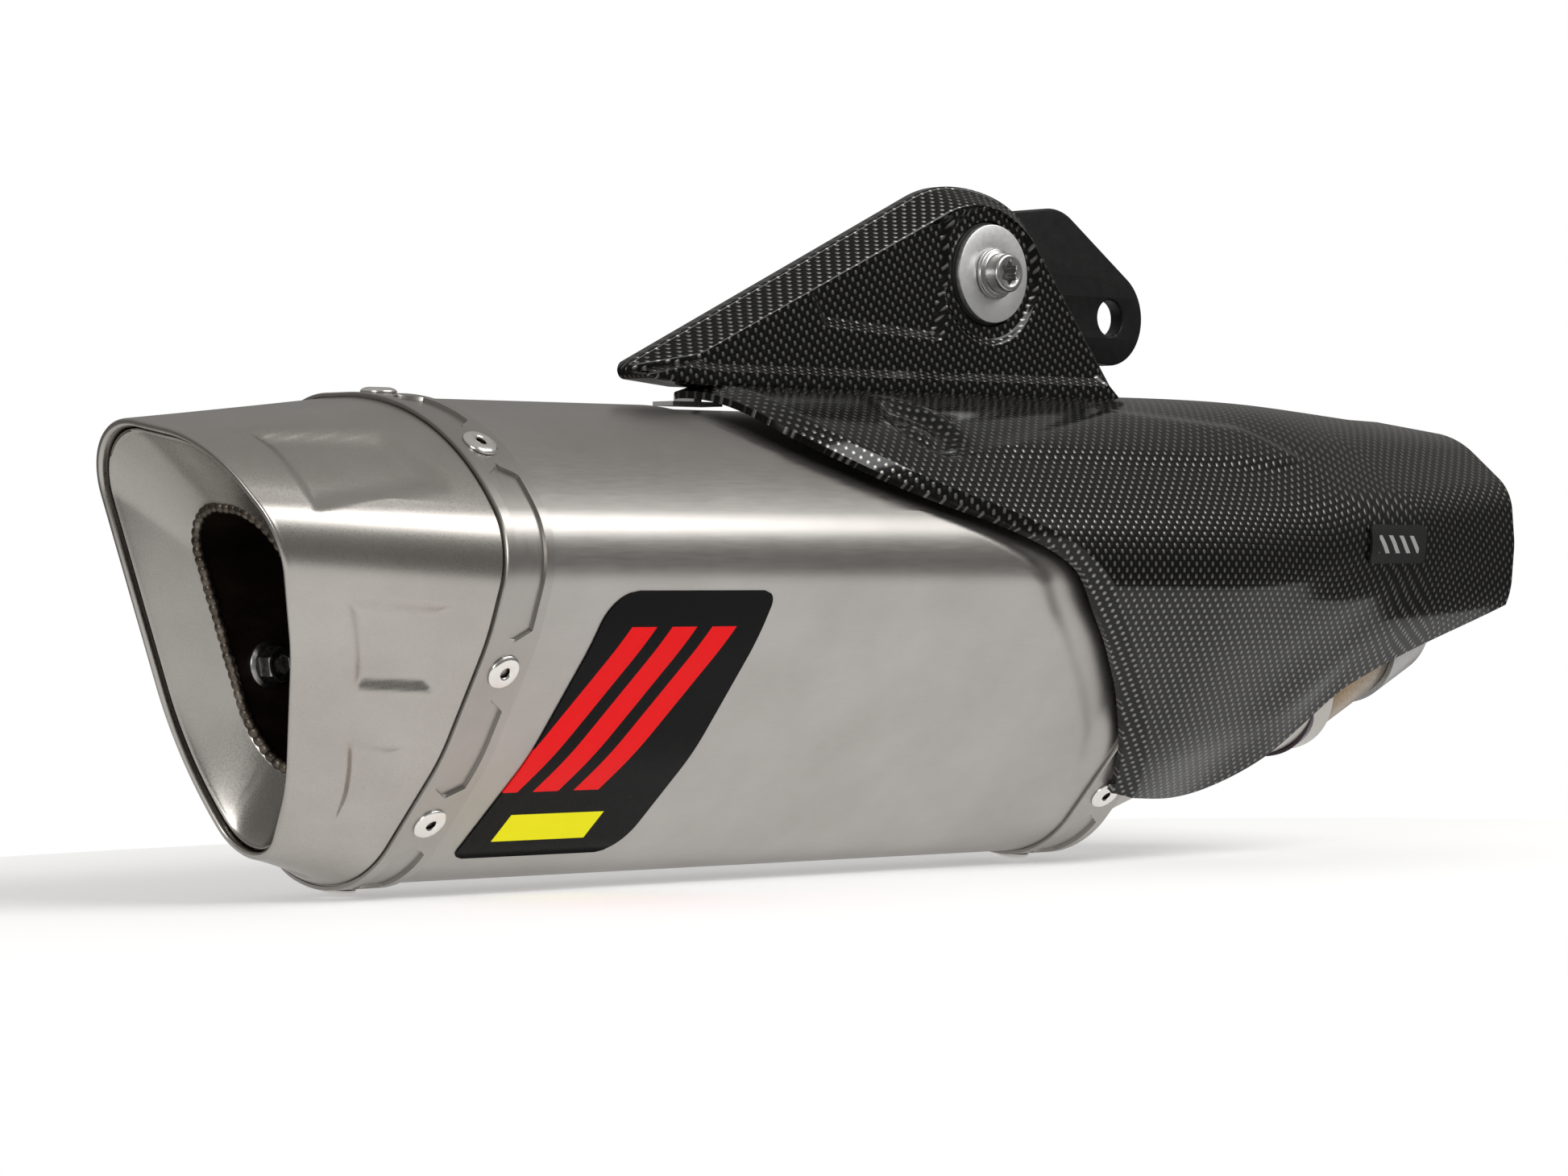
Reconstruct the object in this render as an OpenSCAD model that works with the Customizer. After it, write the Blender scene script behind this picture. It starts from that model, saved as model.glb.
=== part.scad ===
// Slip-on exhaust silencer with heat shield and hanger.
// Millimetres. +X points forwards, towards the inlet; +Z is up; -Y is the outer side.
// The origin is the centre of the inlet mouth.

/* [Canister] */
// Length of the sleeve between the two end caps
canister_len = 269; // [200:1:300]
// Width of each riveted band
band_w = 16; // [12:1:20]
// Sheet thickness of the bands and of the sleeve
sheet_t = 1.0; // [0.8:0.1:1.2]

/* [End cap] */
// Distance from the rear joint to the lowest point of the lip
lip_low_x = 25; // [20:1:35]
// Distance from the rear joint to the highest point of the lip
lip_high_x = 65; // [55:1:75]
// Sheet thickness of the end cap
cap_t = 1.2; // [0.8:0.1:1.6]
// Depth of the funnel behind the lip
funnel_depth = 15; // [12:1:18]

/* [Inlet] */
// Bore of the inlet pipe, which slips over a 54 mm link pipe
inlet_bore_d = 54.4; // [50.4:0.1:55]
// Wall of the inlet pipe
inlet_wall = 1.2; // [1:0.1:2]
// Upward tilt of the inlet pipe
inlet_tilt = 25; // [18:1:26]
// Length of the inlet pipe beyond the front cap
inlet_len = 54; // [45:1:58]

/* [Hanger] */
// Distance from the rear joint to the mounting bolt
hanger_x = 227.5; // [215:1:235]
// Height of the mounting bolt above the canister's axis
hanger_z = 101.5; // [98:0.5:104]
// Diameter of the hole that bolts to the motorcycle
frame_hole_d = 10.5; // [8:0.5:11]
// Thickness of the hanger bracket
bracket_t = 5; // [4:0.5:5]

/* [Heat shield] */
// Thickness of the carbon fibre moulding
shield_t = 2; // [1.5:0.1:2.5]
// Depth of the fin's turned edge
fin_depth = 10; // [8:0.5:10]

/* [Hidden] */
$fn = 48;
ARC_STEPS = 6;
GAP = 0.1;

// Cross-sections are listed as [Y, Z] corners with a radius for each corner. They run
// anticlockwise as seen from the front, from the inner top corner over the outer side.
BODY = [[48.5, 63], [-24, 63], [-52.5, 24], [-43.5, 0], [-25.5, -30], [10, -69], [48.5, -57]];
BODY_R = [28, 70, 22, 70, 65, 35, 23];
LIP = [[38, 59], [-11, 50], [-30, 26], [-21, -3], [-4, -37], [21, -67], [38.5, -30]];
LIP_R = [19, 41, 20, 64, 64, 14, 80];
OUTLET = [[23, 34], [-3, 32], [-15, 14], [-11, -2], [-2, -18], [10, -37], [23, -22]];
OUTLET_R = [12, 18, 12, 35, 35, 8, 20];
LIP_TOP_Z = 55;
LIP_SLOPE = (lip_high_x - lip_low_x) / (2 * LIP_TOP_Z);

// Rivets sit at these angles about the axis, and the windows fill the band between them.
RIVET_ANGLES = [22, 55, 83, 121, 191, 256, 292, 328];
rivet_head_r = 4.75;
rivet_head_h = 1.4;
rivet_shank_r = 2.35;
rivet_bore_r = 1.3;
rivet_len = 4.4;
rivet_hole_r = rivet_shank_r + GAP;
window_w = 9.6;
window_end = 8.5;

sleeve_inset = sheet_t + GAP;
collar_inset = 2 * sheet_t + 2 * GAP;
collar_len = band_w - 2;
baffle_t = 1.5;
baffle_inset = collar_inset + cap_t + GAP;

core_y = 2;
core_r = 27;
core_wall = 1.2;
spigot_r = core_r - core_wall - GAP;

inlet_r = inlet_bore_d / 2;
inlet_outer_r = inlet_r + inlet_wall;
neck = [340, 2, -8.5];
inlet_dir = [cos(inlet_tilt), 0, sin(inlet_tilt)];
inlet_mouth = neck + inlet_len * inlet_dir;
slot_len = 24;
slot_w = 2.5;

clamp_w = 18;
clamp_t = 1.5;
clamp_r = inlet_outer_r + GAP;
clamp_pos = inlet_len - 13;
ear_t = 3;
ear_gap = 9;
ear_h = 15;
clamp_bolt_r = 3;
clamp_bolt_drop = clamp_r + clamp_t + 8;

// Places along the mounting bolt, from the outer side inwards.
fin_y = 2;
fin_t = shield_t;
lug_y = fin_y + fin_depth + 0.5;
lug_t = 3;
washer_y = lug_y + lug_t + 2.5;
washer_t = 1.5;
bracket_y = washer_y + washer_t + 0.3;
nut_y = bracket_y + bracket_t + 0.3;
collar_flange_r = 14;
collar_flange_t = 2;
collar_tube_r = 6.5;
mount_bolt_r = 4;
grommet_r = 17;
grommet_eye_r = 12;

// ---------- outlines ----------

function unit(v) = v / norm(v);
function mix(a, b, w) = a + (b - a) * w;
function outward(a, b) = unit([b[1] - a[1], a[0] - b[0]]);

// Corner i of a closed outline, moved inwards by d.
function inset_corner(pts, i, d) =
    let (m = len(pts),
         n1 = outward(pts[(i + m - 1) % m], pts[i]),
         n2 = outward(pts[i], pts[(i + 1) % m]))
    pts[i] - (n1 + n2) * d / (1 + n1 * n2);

// The arc of radius r that rounds the corner q between p and s.
function corner_arc(p, q, s, r) =
    let (a = unit(p - q),
         b = unit(s - q),
         half = acos(max(-1, min(1, a * b))) / 2,
         start = q + a * r / tan(half),
         centre = q + unit(a + b) * r / sin(half),
         from = atan2(start[1] - centre[1], start[0] - centre[0]),
         turn = 180 - 2 * half)
    [for (k = [0 : ARC_STEPS]) centre + r * [cos(from + turn * k / ARC_STEPS),
                                             sin(from + turn * k / ARC_STEPS)]];

// A closed rounded outline, moved inwards by d.
function outline(pts, radii, d = 0) =
    let (m = len(pts),
         q = [for (i = [0 : m - 1]) inset_corner(pts, i, d)])
    [for (i = [0 : m - 1])
        each corner_arc(q[(i + m - 1) % m], q[i], q[(i + 1) % m], radii[i] - d)];

function body_outline(d = 0) = outline(BODY, BODY_R, d);
function lip_outline(d = 0) = outline(LIP, LIP_R, d);
function outlet_outline(d = 0) = outline(OUTLET, OUTLET_R, d);
RING_POINTS = len(body_outline());

// Where the ray at this angle from the axis leaves the body outline: [Y, Z, normal's angle].
function on_body(angle, d = 0) =
    let (pts = body_outline(d),
         ray = [cos(angle), sin(angle)],
         hits = [for (i = [0 : RING_POINTS - 1])
             let (a = pts[i],
                  b = pts[(i + 1) % RING_POINTS],
                  side_a = ray[0] * a[1] - ray[1] * a[0],
                  side_b = ray[0] * b[1] - ray[1] * b[0],
                  w = side_a / (side_a - side_b),
                  hit = mix(a, b, w))
             if (side_a <= 0 && side_b > 0 && hit * ray > 0)
                 [hit[0], hit[1], atan2(outward(a, b)[1], outward(a, b)[0])]])
    hits[0];

// ---------- lofts ----------

function ring_at(x, pts) = [for (p = pts) [x, p[0], p[1]]];
function lip_x(z) = -lip_low_x - (z + LIP_TOP_Z) * LIP_SLOPE;

// The two triangles of a quad whose corners run clockwise as seen from outside.
function quad(a, b, c, d) = [[a, b, c], [a, c, d]];

function side_faces(rings, n, base, outwards) =
    [for (i = [0 : rings - 2], j = [0 : n - 1])
        let (a = base + i * n + j,
             b = base + i * n + (j + 1) % n,
             c = base + (i + 1) * n + (j + 1) % n,
             d = base + (i + 1) * n + j)
        each (outwards ? quad(d, c, b, a) : quad(a, b, c, d))];

// A tube between two lists of rings. Both lists run towards +X.
module loft_tube(outer, inner) {
    n = len(outer[0]);
    m = len(outer);
    last = (m - 1) * n;
    start_faces = [for (j = [0 : n - 1])
        each quad(j, (j + 1) % n, m * n + (j + 1) % n, m * n + j)];
    end_faces = [for (j = [0 : n - 1])
        each quad(m * n + last + j, m * n + last + (j + 1) % n, last + (j + 1) % n, last + j)];
    polyhedron(
        points = [for (r = outer) each r, for (r = inner) each r],
        faces = concat(side_faces(m, n, 0, true), side_faces(m, n, m * n, false),
                       start_faces, end_faces));
}

// A solid through a list of rings, each running anticlockwise as seen from the last one.
module loft_solid(rings) {
    n = len(rings[0]);
    m = len(rings);
    polyhedron(
        points = [for (r = rings) each r],
        faces = concat(side_faces(m, n, 0, true),
                       [[for (j = [0 : n - 1]) j], [for (j = [n - 1 : -1 : 0]) (m - 1) * n + j]]));
}

// A prism along +X between two stations, or a ring when a hole outline is given.
module station_prism(x0, x1, pts) {
    translate([x0, 0, 0])
        rotate([90, 0, 90])
            linear_extrude(x1 - x0)
                polygon(pts);
}

module station_ring(x0, x1, outer, inner) {
    difference() {
        station_prism(x0, x1, outer);
        station_prism(x0 - 1, x1 + 1, inner);
    }
}

// Children are drawn with +Z along the body's outward normal and +X forwards.
module on_surface(x, angle, d = 0) {
    hit = on_body(angle, d);
    translate([x, hit[0], hit[1]])
        rotate([hit[2] - 90, 0, 0])
            children();
}

// Children are drawn with +Z along the inlet pipe, from the neck.
module on_inlet(distance) {
    translate(neck)
        rotate([0, 90 - inlet_tilt, 0])
            translate([0, 0, distance])
                children();
}

// Children are drawn with +Z along +Y, on the mounting bolt's axis.
module on_hanger(y) {
    translate([hanger_x, y, hanger_z])
        rotate([-90, 0, 0])
            children();
}

module tube(r_out, r_in, h) {
    difference() {
        cylinder(r = r_out, h = h);
        translate([0, 0, -1])
            cylinder(r = r_in, h = h + 2);
    }
}

// ---------- outlet ----------

CAP_STEPS = [1, 0.8, 0.6, 0.4, 0.2, 0];
cap_inset = 1.4;
joint_gap = 0.4;

function cap_ring(w, d) =
    let (s = body_outline(cap_inset + d), l = lip_outline(d))
    [for (j = [0 : RING_POINTS - 1])
        let (q = mix(s[j], l[j], w))
        [w * lip_x(l[j][1]) - (1 - w) * (joint_gap + d), q[0], q[1]]];

module end_cap() {
    collar = body_outline(collar_inset);
    collar_inner = body_outline(collar_inset + cap_t);
    outer = concat([for (w = CAP_STEPS) cap_ring(w, 0)],
                   [ring_at(-joint_gap, collar), ring_at(collar_len, collar)]);
    inner = concat([for (w = CAP_STEPS) cap_ring(w, cap_t)],
                   [ring_at(-joint_gap - cap_t, collar_inner), ring_at(collar_len, collar_inner)]);
    color("silver")
        difference() {
            loft_tube(outer, inner);
            rivet_holes(band_w / 2);
        }
}

FUNNEL_STEPS = [0, 0.15, 0.4, 0.7, 1];
funnel_t = 1;

function funnel_ring(w, back) =
    let (l = lip_outline(cap_t + GAP), o = outlet_outline())
    [for (j = [0 : RING_POINTS - 1])
        let (q = mix(l[j], o[j], w), depth = mix(1, funnel_depth, pow(w, 0.7)))
        [lip_x(q[1]) + depth + back, q[0], q[1]]];

module outlet_funnel() {
    color("gainsboro")
        loft_tube([for (w = FUNNEL_STEPS) funnel_ring(w, funnel_t)],
                  [for (w = FUNNEL_STEPS) funnel_ring(w, 0)]);
}

pipe_wall = 1.2;
pipe_start = funnel_t + 0.2;
outlet_bolt_pos = [-16.5, 23, -6];
outlet_bolt_r = 3;

function round_ring(x, r) =
    [for (p = outlet_outline())
        let (a = atan2(p[1], p[0] - core_y))
        [x, core_y + r * cos(a), r * sin(a)]];

function outlet_ring(x_add, d) =
    [for (p = outlet_outline(d)) [lip_x(p[1]) + funnel_depth + x_add, p[0], p[1]]];

// Children are drawn with +Z pointing from the pipe's wall into the outlet.
module on_outlet_bolt() {
    translate(outlet_bolt_pos)
        rotate([90, 0, 0])
            children();
}

module outlet_pipe() {
    outer = [outlet_ring(pipe_start, -pipe_wall), outlet_ring(18, -pipe_wall),
             round_ring(10, spigot_r), round_ring(24, spigot_r)];
    inner = [outlet_ring(pipe_start, 0), outlet_ring(18, 0),
             round_ring(10, spigot_r - pipe_wall), round_ring(24, spigot_r - pipe_wall)];
    color("dimgray")
        difference() {
            loft_tube(outer, inner);
            on_outlet_bolt()
                translate([0, 0, -5])
                    cylinder(r = outlet_bolt_r + GAP, h = 10);
        }
}

module outlet_bolt() {
    color("silver")
        on_outlet_bolt()
            difference() {
                union() {
                    translate([0, 0, -9])
                        cylinder(r = outlet_bolt_r, h = 9.5);
                    translate([0, 0, GAP])
                        cylinder(r1 = 6.2, r2 = 5.2, h = 1.5);
                    translate([0, 0, 1.5])
                        cylinder(r = 4.8, h = 4.5, $fn = 6);
                }
                translate([0, 0, 3])
                    cylinder(r = 2.3, h = 4, $fn = 6);
            }
}

module outlet_nut() {
    color("silver")
        on_outlet_bolt()
            translate([0, 0, -pipe_wall - GAP - 5])
                difference() {
                    cylinder(r = 5.8, h = 5, $fn = 6);
                    translate([0, 0, -1])
                        cylinder(r = outlet_bolt_r + 0.05, h = 7);
                }
}

// ---------- canister ----------

module rivet_holes(x) {
    for (a = RIVET_ANGLES)
        on_surface(x, a)
            translate([0, 0, -8])
                cylinder(r = rivet_hole_r, h = 16);
}

// The band's solid stretch at a rivet, with a pointed window end on each side of it.
module window_bridge() {
    half = window_w / 2 + 1;
    wide = window_end + 3.8;
    translate([0, 0, -6])
        linear_extrude(12)
            polygon([[-half, -wide], [0, -window_end], [half, -wide],
                     [half, wide], [0, window_end], [-half, wide]]);
}

module riveted_band(x0) {
    mid = x0 + band_w / 2;
    color("silver")
        difference() {
            station_ring(x0, x0 + band_w, body_outline(), body_outline(sheet_t));
            difference() {
                station_ring(mid - window_w / 2, mid + window_w / 2, body_outline(-2), body_outline(3));
                for (a = RIVET_ANGLES)
                    on_surface(mid, a)
                        window_bridge();
            }
            rivet_holes(mid);
        }
}

module rivets(x) {
    color("whitesmoke")
        for (a = RIVET_ANGLES)
            on_surface(x, a)
                rotate_extrude()
                    polygon([[rivet_bore_r, -rivet_len], [rivet_shank_r, -rivet_len],
                             [rivet_shank_r, 0], [rivet_head_r, 0],
                             [rivet_head_r, rivet_head_h * 0.4], [rivet_head_r - 1, rivet_head_h],
                             [rivet_bore_r + 1, rivet_head_h], [rivet_bore_r, rivet_head_h - 0.5]]);
}

front_band_x = canister_len - band_w;

module rear_band() riveted_band(0);
module front_band() riveted_band(front_band_x);
module rear_rivets() rivets(band_w / 2);
module front_rivets() rivets(front_band_x + band_w / 2);

module sleeve() {
    color("darkgray")
        difference() {
            station_ring(joint_gap, canister_len - joint_gap,
                         body_outline(sleeve_inset), body_outline(sleeve_inset + sheet_t));
            rivet_holes(band_w / 2);
            rivet_holes(front_band_x + band_w / 2);
        }
}

// The decal lies on the outer side between two heights, and leans forwards.
decal_top = 12.5;
decal_bottom = -56;
decal_x = 38;
decal_len = 57;
decal_lean = 14;
decal_t = 0.3;
DECAL_ROWS = 24;

// The sleeve's outer side as a table of [Z, Y], from the bottom up.
SIDE_TABLE = let (pts = [for (p = body_outline(sleeve_inset)) if (p[0] < 0 && abs(p[1]) < 60) p])
    [for (i = [len(pts) - 1 : -1 : 0]) [pts[i][1], pts[i][0]]];

function decal_point(i, lift, x) =
    let (z = mix(decal_top, decal_bottom, i / DECAL_ROWS),
         p = [lookup(z, SIDE_TABLE), z],
         n = outward([lookup(z + 1, SIDE_TABLE), z + 1], [lookup(z - 1, SIDE_TABLE), z - 1]),
         lean = decal_lean * (z - decal_top) / (decal_top - decal_bottom),
         q = p + n * lift)
    [x + lean, q[0], q[1]];

module side_decal() {
    low = 0.1;
    high = low + decal_t;
    far = decal_x + decal_len;
    color("black")
        loft_solid([for (i = [0 : DECAL_ROWS])
            [decal_point(i, low, far), decal_point(i, high, far),
             decal_point(i, high, decal_x), decal_point(i, low, decal_x)]]);
}

module packing() {
    color("khaki")
        difference() {
            station_prism(band_w + 0.5, front_band_x - 0.5, body_outline(sleeve_inset + sheet_t + GAP));
            translate([0, core_y, 0])
                rotate([0, 90, 0])
                    cylinder(r = core_r + GAP, h = canister_len);
        }
}

core_start = 12;
core_end = canister_len - 8;
core_holes = 10;
core_pitch = 22;
core_hole_r = 2.5;

module perforated_core() {
    color("lightgray")
        translate([core_start, core_y, 0])
            rotate([0, 90, 0])
                difference() {
                    tube(core_r, core_r - core_wall, core_end - core_start);
                    for (i = [0 : core_holes - 1], a = [0 : 60 : 120])
                        translate([0, 0, 26 + i * core_pitch])
                            rotate([0, 90, a])
                                cylinder(r = core_hole_r, h = 3 * core_r, center = true);
                }
}

module baffle(x) {
    color("gray")
        difference() {
            station_prism(x, x + baffle_t, body_outline(baffle_inset));
            translate([x - 1, core_y, 0])
                rotate([0, 90, 0])
                    cylinder(r = core_r + GAP, h = baffle_t + 2);
        }
}

module rear_baffle() baffle(collar_len - baffle_t);
module front_baffle() baffle(canister_len - collar_len);

// ---------- inlet ----------

FRONT_STEPS = [0, 0.15, 0.35, 0.6, 0.85, 1];
FRONT_HOLLOW = 0.6;
neck_r = inlet_outer_r + 4 * GAP;
neck_collar = 4;

// Bearings of the neck ring's points: each corner of the body is given the arc between the
// middles of its two sides, so that no two neighbours are far apart.
NECK_BEARINGS =
    let (pts = body_outline(),
         n = RING_POINTS,
         k = ARC_STEPS + 1)
    [for (first = [0 : k : n - 1])
        let (before = pts[(first + n - 1) % n] + pts[first],
             after = pts[first + k - 1] + pts[(first + k) % n],
             from = atan2(before[1], before[0]),
             turn = (atan2(after[1], after[0]) - from + 540) % 360 - 180)
        each [for (j = [0 : k - 1]) from + turn * (j + 0.5) / k]];

// The front cap's end ring, a circle square to the inlet pipe.
function neck_ring(r, along = 0) =
    [for (a = NECK_BEARINGS)
        neck + along * inlet_dir + r * [-sin(a) * sin(inlet_tilt), cos(a), sin(a) * cos(inlet_tilt)]];

function front_ring(w, d) =
    let (s = ring_at(canister_len + joint_gap + d, body_outline(cap_inset + d)),
         c = neck_ring(neck_r + cap_t - d),
         v = pow(w, FRONT_HOLLOW))
    [for (j = [0 : RING_POINTS - 1])
        [mix(s[j][0], c[j][0], w), mix(s[j][1], c[j][1], v), mix(s[j][2], c[j][2], v)]];

module front_cap() {
    collar = body_outline(collar_inset);
    collar_inner = body_outline(collar_inset + cap_t);
    collar_x = canister_len - collar_len;
    step_x = canister_len + joint_gap;
    outer = concat([ring_at(collar_x, collar), ring_at(step_x, collar)],
                   [for (w = FRONT_STEPS) front_ring(w, 0)],
                   [neck_ring(neck_r + cap_t, neck_collar)]);
    inner = concat([ring_at(collar_x, collar_inner), ring_at(step_x + cap_t, collar_inner)],
                   [for (w = FRONT_STEPS) front_ring(w, cap_t)],
                   [neck_ring(neck_r, neck_collar)]);
    color("silver")
        difference() {
            loft_tube(outer, inner);
            rivet_holes(front_band_x + band_w / 2);
        }
}

module inlet_pipe() {
    color("burlywood")
        on_inlet(0)
            difference() {
                tube(inlet_outer_r, inlet_r, inlet_len);
                for (a = [45, 135])
                    rotate([0, 0, a])
                        translate([-50, -slot_w / 2, inlet_len - slot_len])
                            cube([100, slot_w, slot_len + 1]);
            }
}

// The clamp's ears point inwards, along +Y, and its bolt lies across them, pointing down.
module on_clamp_bolt() {
    on_inlet(clamp_pos)
        translate([0, clamp_bolt_drop, 0])
            rotate([0, 90, 0])
                children();
}

module inlet_clamp() {
    low = -clamp_w / 2;
    color("silver")
        difference() {
            on_inlet(clamp_pos)
                difference() {
                    union() {
                        translate([0, 0, low])
                            cylinder(r = clamp_r + clamp_t, h = clamp_w);
                        for (side = [-1, 1])
                            translate([side * (ear_gap + ear_t) / 2 - ear_t / 2, clamp_r, low])
                                cube([ear_t, ear_h, clamp_w]);
                    }
                    translate([0, 0, low - 1])
                        cylinder(r = clamp_r, h = clamp_w + 2);
                    translate([-ear_gap / 2, clamp_r - 5, low - 1])
                        cube([ear_gap, 10, clamp_w + 2]);
                }
            on_clamp_bolt()
                cylinder(r = clamp_bolt_r + GAP, h = 40, center = true);
        }
}

ear_face = ear_gap / 2 + ear_t;

module clamp_bolt() {
    color("silver")
        on_clamp_bolt()
            difference() {
                union() {
                    translate([0, 0, -ear_face - 8])
                        cylinder(r = clamp_bolt_r, h = 2 * ear_face + 8.1);
                    translate([0, 0, ear_face + 0.05])
                        cylinder(r = 5, h = 6);
                }
                translate([0, 0, ear_face + 3])
                    cylinder(r = 2.9, h = 4, $fn = 6);
            }
}

module clamp_nut() {
    color("silver")
        on_clamp_bolt()
            translate([0, 0, -ear_face - 5.05])
                difference() {
                    cylinder(r = 5.5, h = 5, $fn = 6);
                    translate([0, 0, -1])
                        cylinder(r = clamp_bolt_r + 0.05, h = 7);
                }
}

// ---------- heat shield ----------

// The moulding's cross-sections, as open outlines from the inner edge down the outer side.
SHIELD_X = [260, 300, 322, 345, 418];
SHIELD = [
    [[11.2, 67.6], [10, 68], [-25, 68.3], [-58.3, 23.7], [-48.5, -1.5], [-29.5, -33], [-16.5, -47]],
    [[16, 67.6], [13, 68], [-24, 67.5], [-55, 27], [-46, 0], [-28, -28], [-9, -47]],
    [[23, 64], [17, 67.4], [-22, 66.8], [-52, 31], [-46, 7], [-33.5, -18], [-18, -37]],
    [[30, 60], [22, 66.4], [-20, 65.2], [-48, 34], [-44.5, 14], [-39, -2], [-31, -16]],
    [[30, 56], [22, 64.5], [-14, 58.5], [-34.5, 42], [-35.8, 26], [-34.5, 12], [-32.5, 7.5]]];
SHIELD_R = [[5, 66, 27, 75, 65], [5, 55, 26, 65, 60], [6, 45, 24, 45, 50], [9, 40, 20, 40, 40],
            [9, 30, 14, 20, 20]];

// Where the moulding's rear edge lies at each height: [Z, X].
REAR_EDGE = [[-46, 260], [-19, 240], [8, 213], [20, 204], [31, 181], [43, 143], [56, 118],
             [65.5, 113], [68.3, 112]];
SHIELD_STEPS = 15;

function shield_path(pts, radii) =
    [pts[0], for (i = [1 : len(pts) - 2]) each corner_arc(pts[i - 1], pts[i], pts[i + 1], radii[i - 1]),
     pts[len(pts) - 1]];

SHIELD_PATHS = [for (i = [0 : len(SHIELD_X) - 1]) shield_path(SHIELD[i], SHIELD_R[i])];
SHIELD_POINTS = len(SHIELD_PATHS[0]);

// The outer path at a station, moved inwards by d.
function shield_section(x, d = 0) =
    let (k = len([for (i = [1 : len(SHIELD_X) - 2]) if (x > SHIELD_X[i]) 1]),
         w = max(0, (x - SHIELD_X[k]) / (SHIELD_X[k + 1] - SHIELD_X[k])),
         pts = mix(SHIELD_PATHS[k], SHIELD_PATHS[k + 1], w),
         last = SHIELD_POINTS - 1)
    [for (j = [0 : last]) pts[j] - d * outward(pts[max(0, j - 1)], pts[min(last, j + 1)])];

shield_front_x = SHIELD_X[len(SHIELD_X) - 1];

function shield_point(s, j, d) =
    let (rear = lookup(SHIELD_PATHS[0][j][1], REAR_EDGE),
         x = mix(rear, shield_front_x, s),
         p = shield_section(x, d)[j])
    [x, p[0], p[1]];

module shield_shell() {
    m = SHIELD_POINTS;
    n = 2 * m;
    base = SHIELD_STEPS * n;
    points = [for (i = [0 : SHIELD_STEPS])
        let (s = i / SHIELD_STEPS)
        each concat([for (j = [0 : m - 1]) shield_point(s, j, 0)],
                    [for (j = [m - 1 : -1 : 0]) shield_point(s, j, shield_t)])];
    rear = [for (j = [0 : m - 2]) each quad(j, j + 1, n - 2 - j, n - 1 - j)];
    front = [for (j = [0 : m - 2])
        each quad(base + n - 1 - j, base + n - 2 - j, base + j + 1, base + j)];
    polyhedron(points = points,
               faces = concat(side_faces(SHIELD_STEPS + 1, n, 0, true), rear, front));
}

// The fin's outline, as [X, Z] corners: tip, heel, front foot and apex.
FIN = [[86, 69.5], [112, 67], [284, 66.3], [229.5, 134.9]];
FIN_R = [2.5, 20, 3, 38];
fin_hole_r = 15;

module fin() {
    translate([0, fin_y, 0])
        rotate([90, 0, 0])
            mirror([0, 0, 1])
                difference() {
                    linear_extrude(fin_depth)
                        polygon(outline(FIN, FIN_R));
                    translate([0, 0, fin_t])
                        linear_extrude(fin_depth)
                            polygon(outline(FIN, FIN_R, fin_t));
                    translate([hanger_x, hanger_z, -1])
                        cylinder(r = fin_hole_r, h = fin_t + 2);
                }
}

module heat_shield() {
    color("dimgray") {
        shield_shell();
        fin();
    }
}

// A point on the moulding's outer side, at this station and height, lifted off it.
function on_shield(x, z, lift) =
    let (pts = shield_section(x),
         hits = [for (j = [0 : SHIELD_POINTS - 2])
             if (pts[j][1] >= z && pts[j + 1][1] < z)
                 let (w = (pts[j][1] - z) / (pts[j][1] - pts[j + 1][1]))
                 mix(pts[j], pts[j + 1], w) + lift * outward(pts[j], pts[j + 1])])
    [x, hits[0][0], hits[0][1]];

badge_x = 334;
badge_len = 31;
badge_z = 20;
badge_h = 11;

module shield_badge() {
    low = 0.3;
    high = 1;
    far = badge_x + badge_len;
    color("black")
        loft_solid([for (z = [badge_z + badge_h, badge_z + badge_h / 2, badge_z])
            [on_shield(far, z, low), on_shield(far, z, high),
             on_shield(badge_x, z, high), on_shield(badge_x, z, low)]]);
}

// Two bent tabs, back to back, carry the moulding's rear end on top of the sleeve.
tab_x = 121;
tab_y = 10;
tab_w = 8;
tab_foot = 9;
tab_t = 1.2;
tab_z = 62;
tab_h = 3.5;

module shield_tabs() {
    color("silver")
        for (side = [0, 1])
            translate([tab_x, tab_y, tab_z])
                mirror([side, 0, 0])
                    translate([0.2, tab_w, 0])
                        rotate([90, 0, 0])
                            linear_extrude(tab_w)
                                polygon([[0, 0], [tab_foot, 0], [tab_foot, tab_t], [tab_t, tab_t],
                                         [tab_t, tab_h], [0, tab_h]]);
}

// Discs on the front band keep the moulding clear of it.
PAD_ANGLES = [102, 155];
pad_r = 4;
pad_h = 1.85;

module shield_pads() {
    color("black")
        for (a = PAD_ANGLES)
            on_surface(canister_len - band_w / 2, a)
                translate([0, 0, 0.05])
                    cylinder(r = pad_r, h = pad_h);
}

// ---------- hanger ----------

module mount_lug() {
    foot_z = 62;
    color("silver") {
        difference() {
            union() {
                on_hanger(lug_y)
                    cylinder(r = grommet_r + 3, h = lug_t);
                translate([0, lug_y + lug_t, 0])
                    rotate([90, 0, 0])
                        linear_extrude(lug_t)
                            polygon([[hanger_x - 40, foot_z], [hanger_x + 24, foot_z],
                                     [hanger_x + 20, hanger_z], [hanger_x - 20, hanger_z]]);
            }
            on_hanger(lug_y - 1)
                cylinder(r = grommet_eye_r + GAP, h = lug_t + 2);
        }
        translate([hanger_x - 40, lug_y, foot_z])
            cube([64, 7.5, 2]);
    }
}

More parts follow.
